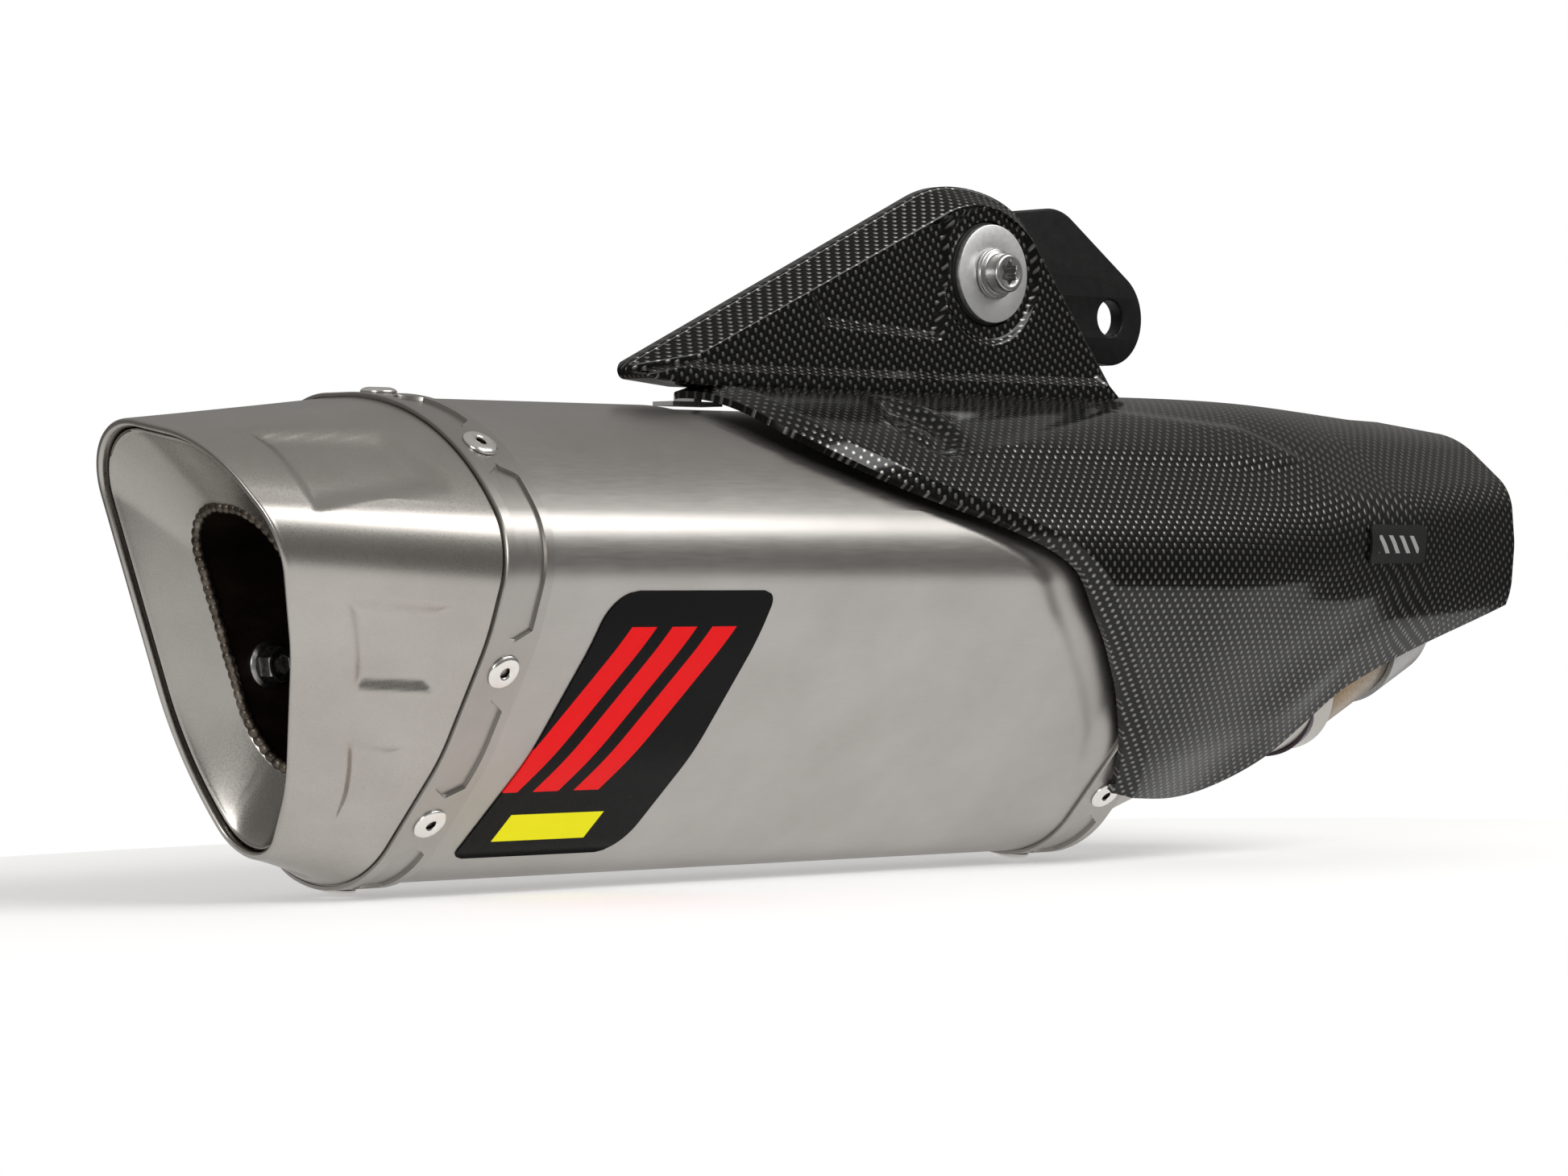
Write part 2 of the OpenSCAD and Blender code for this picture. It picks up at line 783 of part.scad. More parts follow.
// The rubber sleeve grips the lug's eye between its two shoulders.
module mount_grommet() {
    front = lug_y - GAP;
    back = lug_y + lug_t + GAP;
    start = collar_y + collar_flange_t + GAP;
    color("black")
        on_hanger(0)
            rotate_extrude()
                polygon([[collar_tube_r + GAP, start], [fin_hole_r - 0.3, start],
                         [fin_hole_r - 0.3, front], [grommet_eye_r, front],
                         [grommet_eye_r, back], [fin_hole_r, back],
                         [fin_hole_r, washer_y - GAP], [collar_tube_r + GAP, washer_y - GAP]]);
}

collar_y = fin_y - 1.2;

module mount_collar() {
    color("silver")
        on_hanger(collar_y)
            difference() {
                union() {
                    cylinder(r = collar_flange_r, h = collar_flange_t);
                    cylinder(r = collar_tube_r, h = washer_y - collar_y - GAP);
                }
                translate([0, 0, -1])
                    cylinder(r = mount_bolt_r + GAP, h = 40);
            }
}

module mount_bolt() {
    head = 6.5;
    color("gray")
        on_hanger(0)
            difference() {
                union() {
                    translate([0, 0, collar_y - 1.6])
                        cylinder(r = 7.2, h = 1.6 - 0.05);
                    translate([0, 0, collar_y - head])
                        cylinder(r = 5.4, h = head - 0.5);
                    translate([0, 0, collar_y - 1])
                        cylinder(r = mount_bolt_r, h = nut_y + 8 - collar_y);
                }
                translate([0, 0, collar_y - head - 1])
                    cylinder(r = 3.3, h = 4.5, $fn = 6);
            }
}

module mount_washer() {
    color("silver")
        on_hanger(washer_y)
            tube(12, mount_bolt_r + GAP, washer_t);
}

module mount_nut() {
    color("gray")
        on_hanger(nut_y)
            difference() {
                union() {
                    cylinder(r = 9, h = 1.5);
                    cylinder(r = 7.5, h = 7, $fn = 6);
                }
                translate([0, 0, -1])
                    cylinder(r = mount_bolt_r + 0.05, h = 9);
            }
}

// The bracket reaches from the mounting bolt to the motorcycle's frame bolt.
frame_hole = [70, -9.5];
arm_shoulder = [44.5, 5.5];

module hanger_bracket() {
    color([0.1, 0.1, 0.1])
        translate([hanger_x, bracket_y + bracket_t, hanger_z])
            rotate([90, 0, 0])
                difference() {
                    linear_extrude(bracket_t)
                        hull() {
                            circle(r = 17, $fn = 32);
                            translate(arm_shoulder)
                                circle(r = 16, $fn = 32);
                            translate(frame_hole)
                                circle(r = 14, $fn = 32);
                        }
                    translate([0, 0, -1])
                        cylinder(r = mount_bolt_r + 0.08, h = bracket_t + 2);
                    translate([frame_hole[0], frame_hole[1], -1])
                        cylinder(d = frame_hole_d, h = bracket_t + 2);
                }
}

// ---------- assembly ----------

module placed() {
    translate(-inlet_mouth)
        children();
}

placed() end_cap();
placed() outlet_funnel();
placed() outlet_pipe();
placed() outlet_bolt();
placed() outlet_nut();
placed() rear_band();
placed() rear_rivets();
placed() sleeve();
placed() side_decal();
placed() packing();
placed() perforated_core();
placed() rear_baffle();
placed() front_baffle();
placed() front_cap();
placed() front_band();
placed() front_rivets();
placed() inlet_pipe();
placed() inlet_clamp();
placed() clamp_bolt();
placed() clamp_nut();
placed() heat_shield();
placed() shield_badge();
placed() shield_tabs();
placed() shield_pads();
placed() mount_lug();
placed() mount_grommet();
placed() mount_collar();
placed() mount_bolt();
placed() mount_washer();
placed() mount_nut();
placed() hanger_bracket();
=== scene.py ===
"""Slip-on exhaust silencer: the visual model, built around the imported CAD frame."""
import math

import bmesh
import bpy
import numpy as np
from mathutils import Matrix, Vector


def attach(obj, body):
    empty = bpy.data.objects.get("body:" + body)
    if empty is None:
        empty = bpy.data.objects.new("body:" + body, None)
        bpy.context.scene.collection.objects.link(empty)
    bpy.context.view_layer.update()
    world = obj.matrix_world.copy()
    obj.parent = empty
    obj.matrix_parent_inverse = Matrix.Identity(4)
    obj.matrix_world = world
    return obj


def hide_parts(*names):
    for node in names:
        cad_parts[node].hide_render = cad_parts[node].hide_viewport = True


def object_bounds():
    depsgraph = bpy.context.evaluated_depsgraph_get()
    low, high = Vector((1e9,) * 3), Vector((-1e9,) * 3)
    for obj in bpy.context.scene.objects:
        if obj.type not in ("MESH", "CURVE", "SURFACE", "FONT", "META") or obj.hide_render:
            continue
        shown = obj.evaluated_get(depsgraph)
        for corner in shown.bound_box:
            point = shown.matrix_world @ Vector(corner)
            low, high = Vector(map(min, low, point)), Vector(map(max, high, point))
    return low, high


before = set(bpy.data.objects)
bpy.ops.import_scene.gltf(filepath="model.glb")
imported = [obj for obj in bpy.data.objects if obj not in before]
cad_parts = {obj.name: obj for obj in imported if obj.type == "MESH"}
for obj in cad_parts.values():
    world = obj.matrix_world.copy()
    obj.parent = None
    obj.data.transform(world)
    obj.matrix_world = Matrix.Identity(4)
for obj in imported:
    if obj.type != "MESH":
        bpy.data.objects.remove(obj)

CAD_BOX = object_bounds()

# ---------- the design frame ----------
# Sizes are in millimetres. X = 0 is the joint between the end cap and the rear band, +X points
# forwards, +Z is up and -Y is the outer side. Outlines are lists of (Y, Z) corners, with a radius
# for each corner in the list that follows.

INLET_TILT = math.radians(25)
INLET_DIR = np.array([math.cos(INLET_TILT), 0, math.sin(INLET_TILT)])
NECK = np.array([340, 2, -8.5])
INLET_LEN = 54
MOUTH = NECK + INLET_LEN * INLET_DIR

CANISTER_LEN = 269
BAND_W = 16
BODY = [(48.5, 63), (-24, 63), (-52.5, 24), (-43.5, 0), (-25.5, -30), (10, -69), (48.5, -57)]
BODY_R = [28, 70, 22, 70, 65, 35, 23]
LIP = [(38, 59), (-11, 50), (-30, 26), (-21, -3), (-4, -37), (21, -67), (38.5, -30)]
LIP_R = [19, 41, 20, 64, 64, 14, 80]
OUTLET = [(23, 34), (-3, 32), (-15, 14), (-11, -2), (-2, -18), (10, -37), (23, -22)]
OUTLET_R = [12, 18, 12, 35, 35, 8, 20]
CORE_Y = 2
SPIGOT_R = 25.7
FUNNEL_DEPTH = 15
LIP_LOW_X = 25
LIP_RISE = 40
LIP_TOP_Z = 55
RIVET_ANGLES = [22, 55, 83, 121, 191, 256, 292, 328]


def metres(points):
    """Points of the design frame in metres, measured from the inlet's mouth."""
    return (np.asarray(points, float) - MOUTH) / 1000


def unit(v):
    v = np.asarray(v, float)
    return v / np.linalg.norm(v)


def step(low, high, x):
    """0 before low and 1 after high, with a smooth rise between them."""
    t = np.clip((np.asarray(x, float) - low) / (high - low), 0, 1)
    return t * t * (3 - 2 * t)


def full_turn(count):
    return np.arange(count) * 2 * math.pi / count


def lip_x(z):
    """Where the end cap's slanted lip lies at a height."""
    return -LIP_LOW_X - (z + LIP_TOP_Z) * LIP_RISE / (2 * LIP_TOP_Z)


# ---------- outlines ----------

def corner_arc(p, q, s, r, count):
    """The arc of radius r that rounds corner q between its neighbours p and s."""
    a, b = unit(p - q), unit(s - q)
    half = math.acos(np.clip(a @ b, -1, 1)) / 2
    start = q + a * r / math.tan(half)
    centre = q + unit(a + b) * r / math.sin(half)
    first = math.atan2(start[1] - centre[1], start[0] - centre[0])
    turn = math.pi - 2 * half
    t = first + turn * np.linspace(0, 1, count)
    return centre + r * np.c_[np.cos(t), np.sin(t)]


def outward(a, b):
    """The outward normal of the side from a to b."""
    d = unit(b - a)
    return np.array([d[1], -d[0]])


def normals(points):
    """The outward normals of a closed outline."""
    ahead = np.roll(points, -1, axis=0)
    return np.array([outward(points[i - 1], ahead[i]) for i in range(len(points))])


def join_arcs(arcs, straight, closed):
    """Arcs in a row with straight runs between them."""
    out = []
    for i, arc in enumerate(arcs):
        out.append(arc)
        if i + 1 < len(arcs) or closed:
            a, b = arc[-1], arcs[(i + 1) % len(arcs)][0]
            t = np.linspace(0, 1, straight + 2)[1:-1, None]
            out.append(a + (b - a) * t)
    return np.concatenate(out)


def outline(corners, radii, inset=0.0, arc=26, straight=18):
    """A closed rounded outline, moved inwards. Equal counts make two outlines correspond."""
    c = np.asarray(corners, float)
    m = len(c)
    q = []
    for i in range(m):
        n1, n2 = outward(c[i - 1], c[i]), outward(c[i], c[(i + 1) % m])
        q.append(c[i] - (n1 + n2) * inset / (1 + n1 @ n2))
    arcs = [corner_arc(q[i - 1], q[i], q[(i + 1) % m], radii[i] - inset, arc) for i in range(m)]
    return join_arcs(arcs, straight, True)


def body_outline(inset=0.0):
    return outline(BODY, BODY_R, inset)


def lip_outline(inset=0.0):
    return outline(LIP, LIP_R, inset)


def arc_lengths(points):
    """The length along a closed outline from its first point to each point."""
    d = np.linalg.norm(np.diff(points, axis=0, append=points[:1]), axis=1)
    return np.r_[0, np.cumsum(d)[:-1]]


def on_body(angle, inset=0.0):
    """Where the ray at this angle leaves the body outline, and the normal there."""
    pts = body_outline(inset)
    a = np.unwrap(np.arctan2(pts[:, 1], pts[:, 0]))
    t = math.radians(angle)
    while t < a.min():
        t += 2 * math.pi
    while t > a.max() + 0.1:
        t -= 2 * math.pi
    i = int(np.argmin(np.abs(a - t)))
    return pts[i], outward(pts[i - 1], pts[(i + 1) % len(pts)])


def polygon_distance(px, py, corners):
    """Signed distance to a polygon, negative inside."""
    c = np.asarray(corners, float)
    best = np.full(px.shape, 1e9)
    inside = np.zeros(px.shape, bool)
    for (ax, ay), (bx, by) in zip(c, np.roll(c, -1, axis=0)):
        ex, ey = bx - ax, by - ay
        t = np.clip(((px - ax) * ex + (py - ay) * ey) / (ex * ex + ey * ey), 0, 1)
        best = np.minimum(best, np.hypot(px - ax - t * ex, py - ay - t * ey))
        if abs(ey) > 1e-9:
            inside ^= ((ay > py) != (by > py)) & (px < (py - ay) * ex / ey + ax)
    return np.where(inside, -best, best)


# ---------- meshes ----------

SURFACE_MAP = "weave"


def new_object(name, data):
    obj = bpy.data.objects.new(name, data)
    bpy.context.scene.collection.objects.link(obj)
    return obj


def piece(name, shape, material, nodes=(), body="silencer", sharp=35, extra=None):
    """A mesh object that rides on a body and stands for CAD nodes.

    The shape is its points, its faces and, for some, a UV pair for each point. Edges sharper than
    the angle in sharp stay sharp. extra is a second material and a test that says which face
    centres take it.
    """
    points, faces, *uv = shape
    mesh = bpy.data.meshes.new(name)
    mesh.from_pydata(metres(points).tolist(), [], faces)
    if uv:
        layer = mesh.uv_layers.new(name=SURFACE_MAP)
        index = np.zeros(len(mesh.loops), np.int32)
        mesh.loops.foreach_get("vertex_index", index)
        layer.data.foreach_set("uv", np.asarray(uv[0], np.float32)[index].ravel())
    bm = bmesh.new()
    bm.from_mesh(mesh)
    bmesh.ops.remove_doubles(bm, verts=bm.verts, dist=1e-6)
    bmesh.ops.recalc_face_normals(bm, faces=bm.faces)
    bm.to_mesh(mesh)
    bm.free()
    mesh.polygons.foreach_set("use_smooth", [True] * len(mesh.polygons))
    mesh.set_sharp_from_angle(angle=math.radians(sharp))
    mesh.materials.append(material)
    if extra is not None:
        second, test = extra
        mesh.materials.append(second)
        centres = np.zeros(len(mesh.polygons) * 3, np.float32)
        mesh.polygons.foreach_get("center", centres)
        hit = test(centres.reshape(-1, 3) * 1000 + MOUTH)
        mesh.polygons.foreach_set("material_index", hit.astype(np.int32))
    obj = new_object(name, mesh)
    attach(obj, body)
    if nodes:
        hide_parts(*nodes)


def grid_faces(rows, cols, base=0, wrap=False, flip=False):
    """The quads of a grid of points, whose rows run round when wrap is true."""
    a = np.arange(rows - 1)[:, None]
    b = np.arange(cols if wrap else cols - 1)[None, :]
    c = (b + 1) % cols
    quads = np.stack([a * cols + b, a * cols + c, (a + 1) * cols + c, (a + 1) * cols + b], -1)
    quads = quads.reshape(-1, 4) + base
    return quads[:, ::-1] if flip else quads


def shell(outer, inner, wrap):
    """A closed sheet between two grids of points."""
    outer, inner = np.array(outer), np.array(inner)
    rows, cols = outer.shape[:2]
    n = rows * cols
    faces = [grid_faces(rows, cols, 0, wrap), grid_faces(rows, cols, n, wrap, True)]
    b = np.arange(cols if wrap else cols - 1)
    c = (b + 1) % cols
    for row in (0, rows - 1):
        faces.append(np.stack([row * cols + b, n + row * cols + b,
                               n + row * cols + c, row * cols + c], -1))
    if not wrap:
        a = np.arange(rows - 1)
        for col in (0, cols - 1):
            faces.append(np.stack([a * cols + col, (a + 1) * cols + col,
                                   n + (a + 1) * cols + col, n + a * cols + col], -1))
    points = np.concatenate([outer.reshape(-1, 3), inner.reshape(-1, 3)])
    return points, np.concatenate(faces).tolist()


def mapped_shell(outer, inner, uv):
    """An open sheet with the same map on both of its sides."""
    return *shell(outer, inner, False), np.concatenate([np.concatenate(uv)] * 2)


def torus(rings):
    """A closed solid whose rings and whose rows both run round."""
    rings = np.array(rings)
    rows, cols = rings.shape[:2]
    faces = grid_faces(rows + 1, cols, 0, True) % (rows * cols)
    return rings.reshape(-1, 3), faces.tolist()


def rows_of(outline_points, x):
    """An outline in space, at one station or at one for each point."""
    return np.c_[np.broadcast_to(x, len(outline_points)), outline_points]


def soften(profile, r):
    """Rounds the corners of a list of (radius, height, shape) points."""
    out = [profile[0]]
    for i in range(1, len(profile) - 1):
        p, q, s = (np.array(profile[k][:2], float) for k in (i - 1, i, i + 1))
        la, lb = np.linalg.norm(p - q), np.linalg.norm(s - q)
        d = min(r, 0.4 * la, 0.4 * lb)
        a, b = q + (p - q) * d / la, q + (s - q) * d / lb
        for t in (0, 0.5, 1):
            w = (1 - t) ** 2 * a + 2 * t * (1 - t) * q + t * t * b
            out.append((w[0], w[1], profile[i][2]))
    out.append(profile[-1])
    return out


def shape_radius(shape, angle):
    """How far out a round, hexagonal or six-lobed profile of radius 1 reaches."""
    if shape == "hex":
        t = (angle + math.pi / 6) % (math.pi / 3) - math.pi / 6
        return np.minimum(math.cos(math.pi / 6) / np.cos(t), 0.985)
    if shape == "lobe":
        return 0.86 + 0.14 * np.cos(6 * angle)
    return np.ones_like(angle)


def shaped(*runs):
    """A profile made of runs, each a shape's name and the points that have it."""
    return [(*p, shape) for shape, *points in runs for p in points]


def turned(profile, centre, axis, count=96, r=0.3, spin=0.0):
    """A turned solid: the profile's points are (radius, height), or (radius, height, shape).

    A profile that starts on the axis is capped at both ends, and any other is closed on itself.
    """
    if len(profile[0]) == 2:
        profile = [(*p, "round") for p in profile]
    closed = profile[0][0] > 1e-6
    if closed:
        profile = soften([profile[-1], *profile, profile[0]], r)[1:-1]
    else:
        profile = soften(profile, r)
    axis = unit(axis)
    side = unit(np.cross(axis, [0.3, 1, 0.2] if abs(axis[1]) < 0.9 else [1, 0, 0]))
    up = np.cross(axis, side)
    t = full_turn(count)
    rings = []
    for radius, height, shape in profile:
        rr = max(radius, 1e-3) * shape_radius(shape, t + spin)
        rings.append(np.asarray(centre) + axis * height + rr[:, None]
                     * (np.cos(t)[:, None] * side + np.sin(t)[:, None] * up))
    if closed:
        return torus(rings)
    points = np.array(rings).reshape(-1, 3)
    faces = grid_faces(len(rings), count, 0, True).tolist()
    faces.append(list(range(count)))
    faces.append(list(range((len(rings) - 1) * count, len(rings) * count)))
    return points, faces


def merged(parts):
    """One mesh from a list of (points, faces)."""
    points, faces, base = [], [], 0
    for p, f in parts:
        points.append(p)
        faces += [[v + base for v in face] for face in f]
        base += len(p)
    return np.concatenate(points), faces


# ---------- materials ----------

class Wiring:
    """Helpers that add and join the nodes of a tree."""

    def __init__(self, tree):
        self.tree = tree

    def node(self, kind, inputs=None, **settings):
        n = self.tree.nodes.new(kind)
        for key, value in settings.items():
            setattr(n, key, value)
        for key, value in (inputs or {}).items():
            n.inputs[key].default_value = value
        return n

    def link(self, a, b):
        self.tree.links.new(a, b)

    def math(self, op, a, b=None, c=None):
        n = self.node("ShaderNodeMath", operation=op)
        for socket, value in zip(n.inputs, (a, b, c)):
            if value is None:
                continue
            if isinstance(value, (int, float)):
                socket.default_value = value
            else:
                self.link(value, socket)
        return n.outputs[0]

    def times(self, a, b):
        return self.math("MULTIPLY", a, b)

    def inside(self, value, low, high):
        """1 between low and high and 0 elsewhere."""
        return self.times(self.math("GREATER_THAN", value, low), self.math("LESS_THAN", value, high))

    def axes(self, vector):
        n = self.node("ShaderNodeSeparateXYZ")
        self.link(vector, n.inputs[0])
        return n.outputs

    def ramp(self, fac, stops):
        n = self.node("ShaderNodeValToRGB")
        points = n.color_ramp.elements
        while len(points) < len(stops):
            points.new(0.5)
        for point, (at, colour) in zip(points, stops):
            point.position = at
            point.color = (*colour, 1)
        self.link(fac, n.inputs["Fac"])
        return n.outputs["Color"]

    def blend(self, fac, a, b):
        n = self.node("ShaderNodeMix", data_type="RGBA")
        for index, value in ((6, a), (7, b)):
            if isinstance(value, tuple):
                n.inputs[index].default_value = (*value, 1)
            else:
                self.link(value, n.inputs[index])
        self.link(fac, n.inputs[0])
        return n.outputs[2]


class Shader(Wiring):
    """A Principled material, with places in metres or along the surface in millimetres."""

    def __init__(self, name, **values):
        self.mat = bpy.data.materials.new(name)
        self.mat.use_nodes = True
        super().__init__(self.mat.node_tree)
        self.bsdf = self.tree.nodes["Principled BSDF"]
        for key, value in values.items():
            self.bsdf.inputs[key.replace("_", " ")].default_value = value
        self.place = self.node("ShaderNodeTexCoord").outputs["Object"]

    def uv_axes(self):
        x, y, _ = self.axes(self.node("ShaderNodeUVMap", uv_map=SURFACE_MAP).outputs[0])
        return x, y

    def noise(self, scale, detail=4, rough=0.55, stretch=(1, 1, 1)):
        m = self.node("ShaderNodeMapping", {"Scale": stretch})
        self.link(self.place, m.inputs["Vector"])
        n = self.node("ShaderNodeTexNoise", {"Scale": scale, "Detail": detail, "Roughness": rough})
        self.link(m.outputs[0], n.inputs["Vector"])
        return n.outputs["Fac"]

    def colour(self, socket):
        self.link(socket, self.bsdf.inputs["Base Color"])

    def rough(self, fac, low, high, start=0.3, end=0.7):
        """Roughness that goes from low to high as fac goes from start to end."""
        n = self.node("ShaderNodeMapRange", {"From Min": start, "From Max": end,
                                             "To Min": low, "To Max": high})
        self.link(fac, n.inputs["Value"])
        self.link(n.outputs["Result"], self.bsdf.inputs["Roughness"])

    def bump(self, height, strength, distance):
        n = self.node("ShaderNodeBump", {"Strength": strength, "Distance": distance})
        self.link(height, n.inputs["Height"])
        self.link(n.outputs["Normal"], self.bsdf.inputs["Normal"])


def satin_metal(name, dark, light, rough_low, rough_high, grain=5200, bump=0.015, streak=(1, 1, 1)):
    """Blasted or brushed sheet: mottled colour, a fine grain and faint streaks."""
    s = Shader(name, Metallic=1.0)
    cloud = s.noise(28, 5, 0.6)
    fine = s.noise(grain, 2, 0.6)
    lines = s.noise(grain / 3, 3, 0.5, streak)
    mix = s.math("MULTIPLY_ADD", cloud, 0.8, s.times(lines, 0.2))
    s.colour(s.ramp(mix, [(0.3, dark), (0.7, light)]))
    s.rough(s.math("MULTIPLY_ADD", fine, 0.5, s.times(lines, 0.5)), rough_low, rough_high)
    s.bump(fine, bump, 0.0001)
    return s.mat


MAT = {}
BRUSHED_ALONG, BRUSHED_ROUND = (0.08, 1, 1), (1, 0.1, 0.1)
for key, name, *values in (
        ("cap_steel", "cap_steel", (0.39, 0.368, 0.34), (0.47, 0.448, 0.42), 0.25, 0.34),
        ("sleeve", "satin_titanium", (0.375, 0.357, 0.335), (0.455, 0.437, 0.415), 0.30, 0.40,
         5200, 0.015, BRUSHED_ALONG),
        ("band", "band_titanium", (0.35, 0.332, 0.31), (0.42, 0.402, 0.38), 0.30, 0.40,
         5200, 0.015, BRUSHED_ROUND),
        # The dish's steel is darker than the cap's, as painted shade in its recess.
        ("funnel", "funnel_steel", (0.32, 0.303, 0.28), (0.40, 0.381, 0.355), 0.22, 0.32),
        ("rivet", "rivet_steel", (0.72, 0.70, 0.67), (0.86, 0.84, 0.81), 0.14, 0.26, 3000, 0.03),
        # Zinc plate made darker than plain zinc, as painted shade for the clamp under the shield;
        # every zinc part shares it.
        ("zinc", "zinc_plate", (0.26, 0.256, 0.25), (0.40, 0.396, 0.388), 0.22, 0.38, 1800, 0.05),
        ("polished", "polished_steel", (0.78, 0.78, 0.77), (0.90, 0.90, 0.89), 0.38, 0.5, 2400, 0.03),
        ("bolt", "bolt_steel", (0.40, 0.395, 0.385), (0.56, 0.55, 0.54), 0.24, 0.36, 1500, 0.02)):
    MAT[key] = satin_metal(name, *values)


def make_soot():
    """The outlet's inside: brown and black soot over a near-black base, darker than soot alone as
    painted shade deep in the pipe.
    """
    s = Shader("sooty_steel", Metallic=0.75)
    cloud = s.noise(70, 6, 0.62, (0.35, 1, 1))
    fine = s.noise(1400, 3, 0.6)
    # The near-black base is partly soot and partly painted shade.
    s.colour(s.ramp(cloud, [(0.3, (0.006, 0.005, 0.005)), (0.6, (0.028, 0.019, 0.013)),
                            (0.85, (0.07, 0.048, 0.034))]))
    s.rough(fine, 0.28, 0.5)
    s.bump(fine, 0.12, 0.0003)
    return s.mat


def make_weld():
    """Mottled, discoloured weld metal."""
    s = Shader("weld_bead", Metallic=0.9)
    cloud = s.noise(260, 4, 0.6)
    s.colour(s.ramp(cloud, [(0.3, (0.03, 0.025, 0.02)), (0.55, (0.12, 0.10, 0.08)),
                            (0.8, (0.30, 0.27, 0.24))]))
    s.rough(cloud, 0.26, 0.46)
    s.bump(s.noise(1500, 3, 0.6), 0.15, 0.0003)
    return s.mat


def make_tint():
    """Heat colours along the inlet pipe, straw near the clamp and blue at the neck, all kept dark as
    painted shade under the shield.
    """
    s = Shader("tinted_steel", Metallic=1.0)
    at = s.node("ShaderNodeVectorMath", operation="DOT_PRODUCT")
    s.link(s.place, at.inputs[0])
    at.inputs[1].default_value = tuple(INLET_DIR)
    wander = s.noise(60, 4, 0.6)
    along = s.math("ADD", s.math("MULTIPLY_ADD", at.outputs["Value"], 1000 / 62, 1.0),
                   s.math("MULTIPLY_ADD", wander, 0.22, -0.11))
    s.colour(s.ramp(along, [(0.0, (0.05, 0.035, 0.045)), (0.10, (0.10, 0.06, 0.03)),
                            (0.28, (0.22, 0.14, 0.06)), (0.5, (0.20, 0.14, 0.08)),
                            (0.75, (0.17, 0.145, 0.115)), (1.0, (0.22, 0.205, 0.185))]))
    s.rough(s.noise(900, 3, 0.5, (1, 0.2, 1)), 0.24, 0.38)
    s.bump(s.noise(2400, 2, 0.6), 0.04, 0.0002)
    return s.mat


TOW = 1.7  # width of a tow, in millimetres


def make_carbon():
    """Plain-weave carbon under a clear coat. The weave is real. Its light warp tows, dark weft tows
    and bright tow crowns are painted sheen and highlight.
    """
    s = Shader("carbon_weave", Metallic=0.85, Coat_Weight=0.7, Coat_Roughness=0.13, Coat_IOR=1.42,
               Specular_IOR_Level=0.15, Specular_Tint=(0.3, 0.3, 0.3, 1))
    across, down = s.uv_axes()
    drift = s.math("MULTIPLY_ADD", s.noise(90, 3), 0.3, -0.15)
    u = s.math("DIVIDE", s.math("ADD", across, drift), TOW)
    v = s.math("DIVIDE", s.math("SUBTRACT", down, drift), TOW)
    fu, fv = s.math("FRACT", u), s.math("FRACT", v)
    parity = s.math("MODULO", s.math("ADD", s.math("FLOOR", u), s.math("FLOOR", v)), 2.0)
    warp = s.math("GREATER_THAN", s.math("ABSOLUTE", parity), 0.5)
    hump_u = s.math("SINE", s.times(fu, math.pi))
    hump_v = s.math("SINE", s.times(fv, math.pi))

    def by_tow(on_warp, on_weft):
        return s.math("ADD", s.times(warp, on_warp), s.times(s.math("SUBTRACT", 1.0, warp), on_weft))

    cross, along = by_tow(hump_v, hump_u), by_tow(hump_u, hump_v)
    height = s.times(s.math("POWER", cross, 0.6), s.math("POWER", along, 0.8))
    # Painted sheen and highlight: lighter on warp tows, brightest on each tow's crown.
    painted_tow_sheen = s.times(height, s.math("MULTIPLY_ADD", warp, 0.75, 0.25))
    s.colour(s.ramp(painted_tow_sheen, [(0.05, (0.002, 0.002, 0.002)), (0.45, (0.009, 0.0086, 0.0082)),
                           (0.95, (0.24, 0.228, 0.216))]))
    s.rough(painted_tow_sheen, 0.45, 0.27, 0, 1)
    s.bump(height, 0.55, 0.0004)
    return s.mat


def make_decal():
    """A glossy black sticker with plain slanted stripes and one plain bar."""
    s = Shader("decal_print", Roughness=0.32, Specular_IOR_Level=0.06)
    u, v = s.uv_axes()
    lean = s.math("ADD", u, s.times(v, 0.35))
    stripe = s.math("LESS_THAN", s.math("FRACT", s.math("DIVIDE", lean, 14.0)), 0.62)
    red = s.times(s.times(stripe, s.inside(v, 9.0, 51.0)), s.inside(lean, 14.0, 55.0))
    yellow = s.times(s.inside(v, 57.0, 64.0), s.inside(u, 9.0, 41.0))
    base = s.blend(red, (0.004, 0.004, 0.004), (0.84, 0.008, 0.010))
    s.colour(s.blend(yellow, base, (0.90, 0.86, 0.005)))
    s.rough(s.noise(1200, 3), 0.26, 0.38)
    s.bump(s.noise(700, 2), 0.02, 0.0002)
    return s.mat


def make_badge():
    """A dark plate with a few plain slanted bars."""
    s = Shader("badge_plate", Metallic=0.2, Specular_IOR_Level=0.5)
    u, v = s.uv_axes()
    bars = s.math("LESS_THAN", s.math("FRACT", s.math("DIVIDE", s.math("SUBTRACT", u, v), 6.0)), 0.4)
    box = s.times(s.inside(u, 4.0, 27.0), s.inside(v, 3.0, 8.0))
    s.colour(s.blend(s.times(bars, box), (0.012, 0.012, 0.012), (0.42, 0.42, 0.41)))
    s.rough(s.noise(1500, 3), 0.22, 0.36)
    s.bump(s.noise(2200, 2), 0.05, 0.0002)
    return s.mat


def dull(name, dark, light, rough_low, rough_high, grain, bump, distance=0.0003):
    """Rubber, paint and fibre: mottled colour with a fine bump."""
    s = Shader(name, Specular_IOR_Level=0.22)
    s.colour(s.ramp(s.noise(grain / 8, 5), [(0.3, dark), (0.7, light)]))
    fine = s.noise(grain, 3, 0.6)
    s.rough(fine, rough_low, rough_high)
    s.bump(fine, bump, distance)
    return s.mat


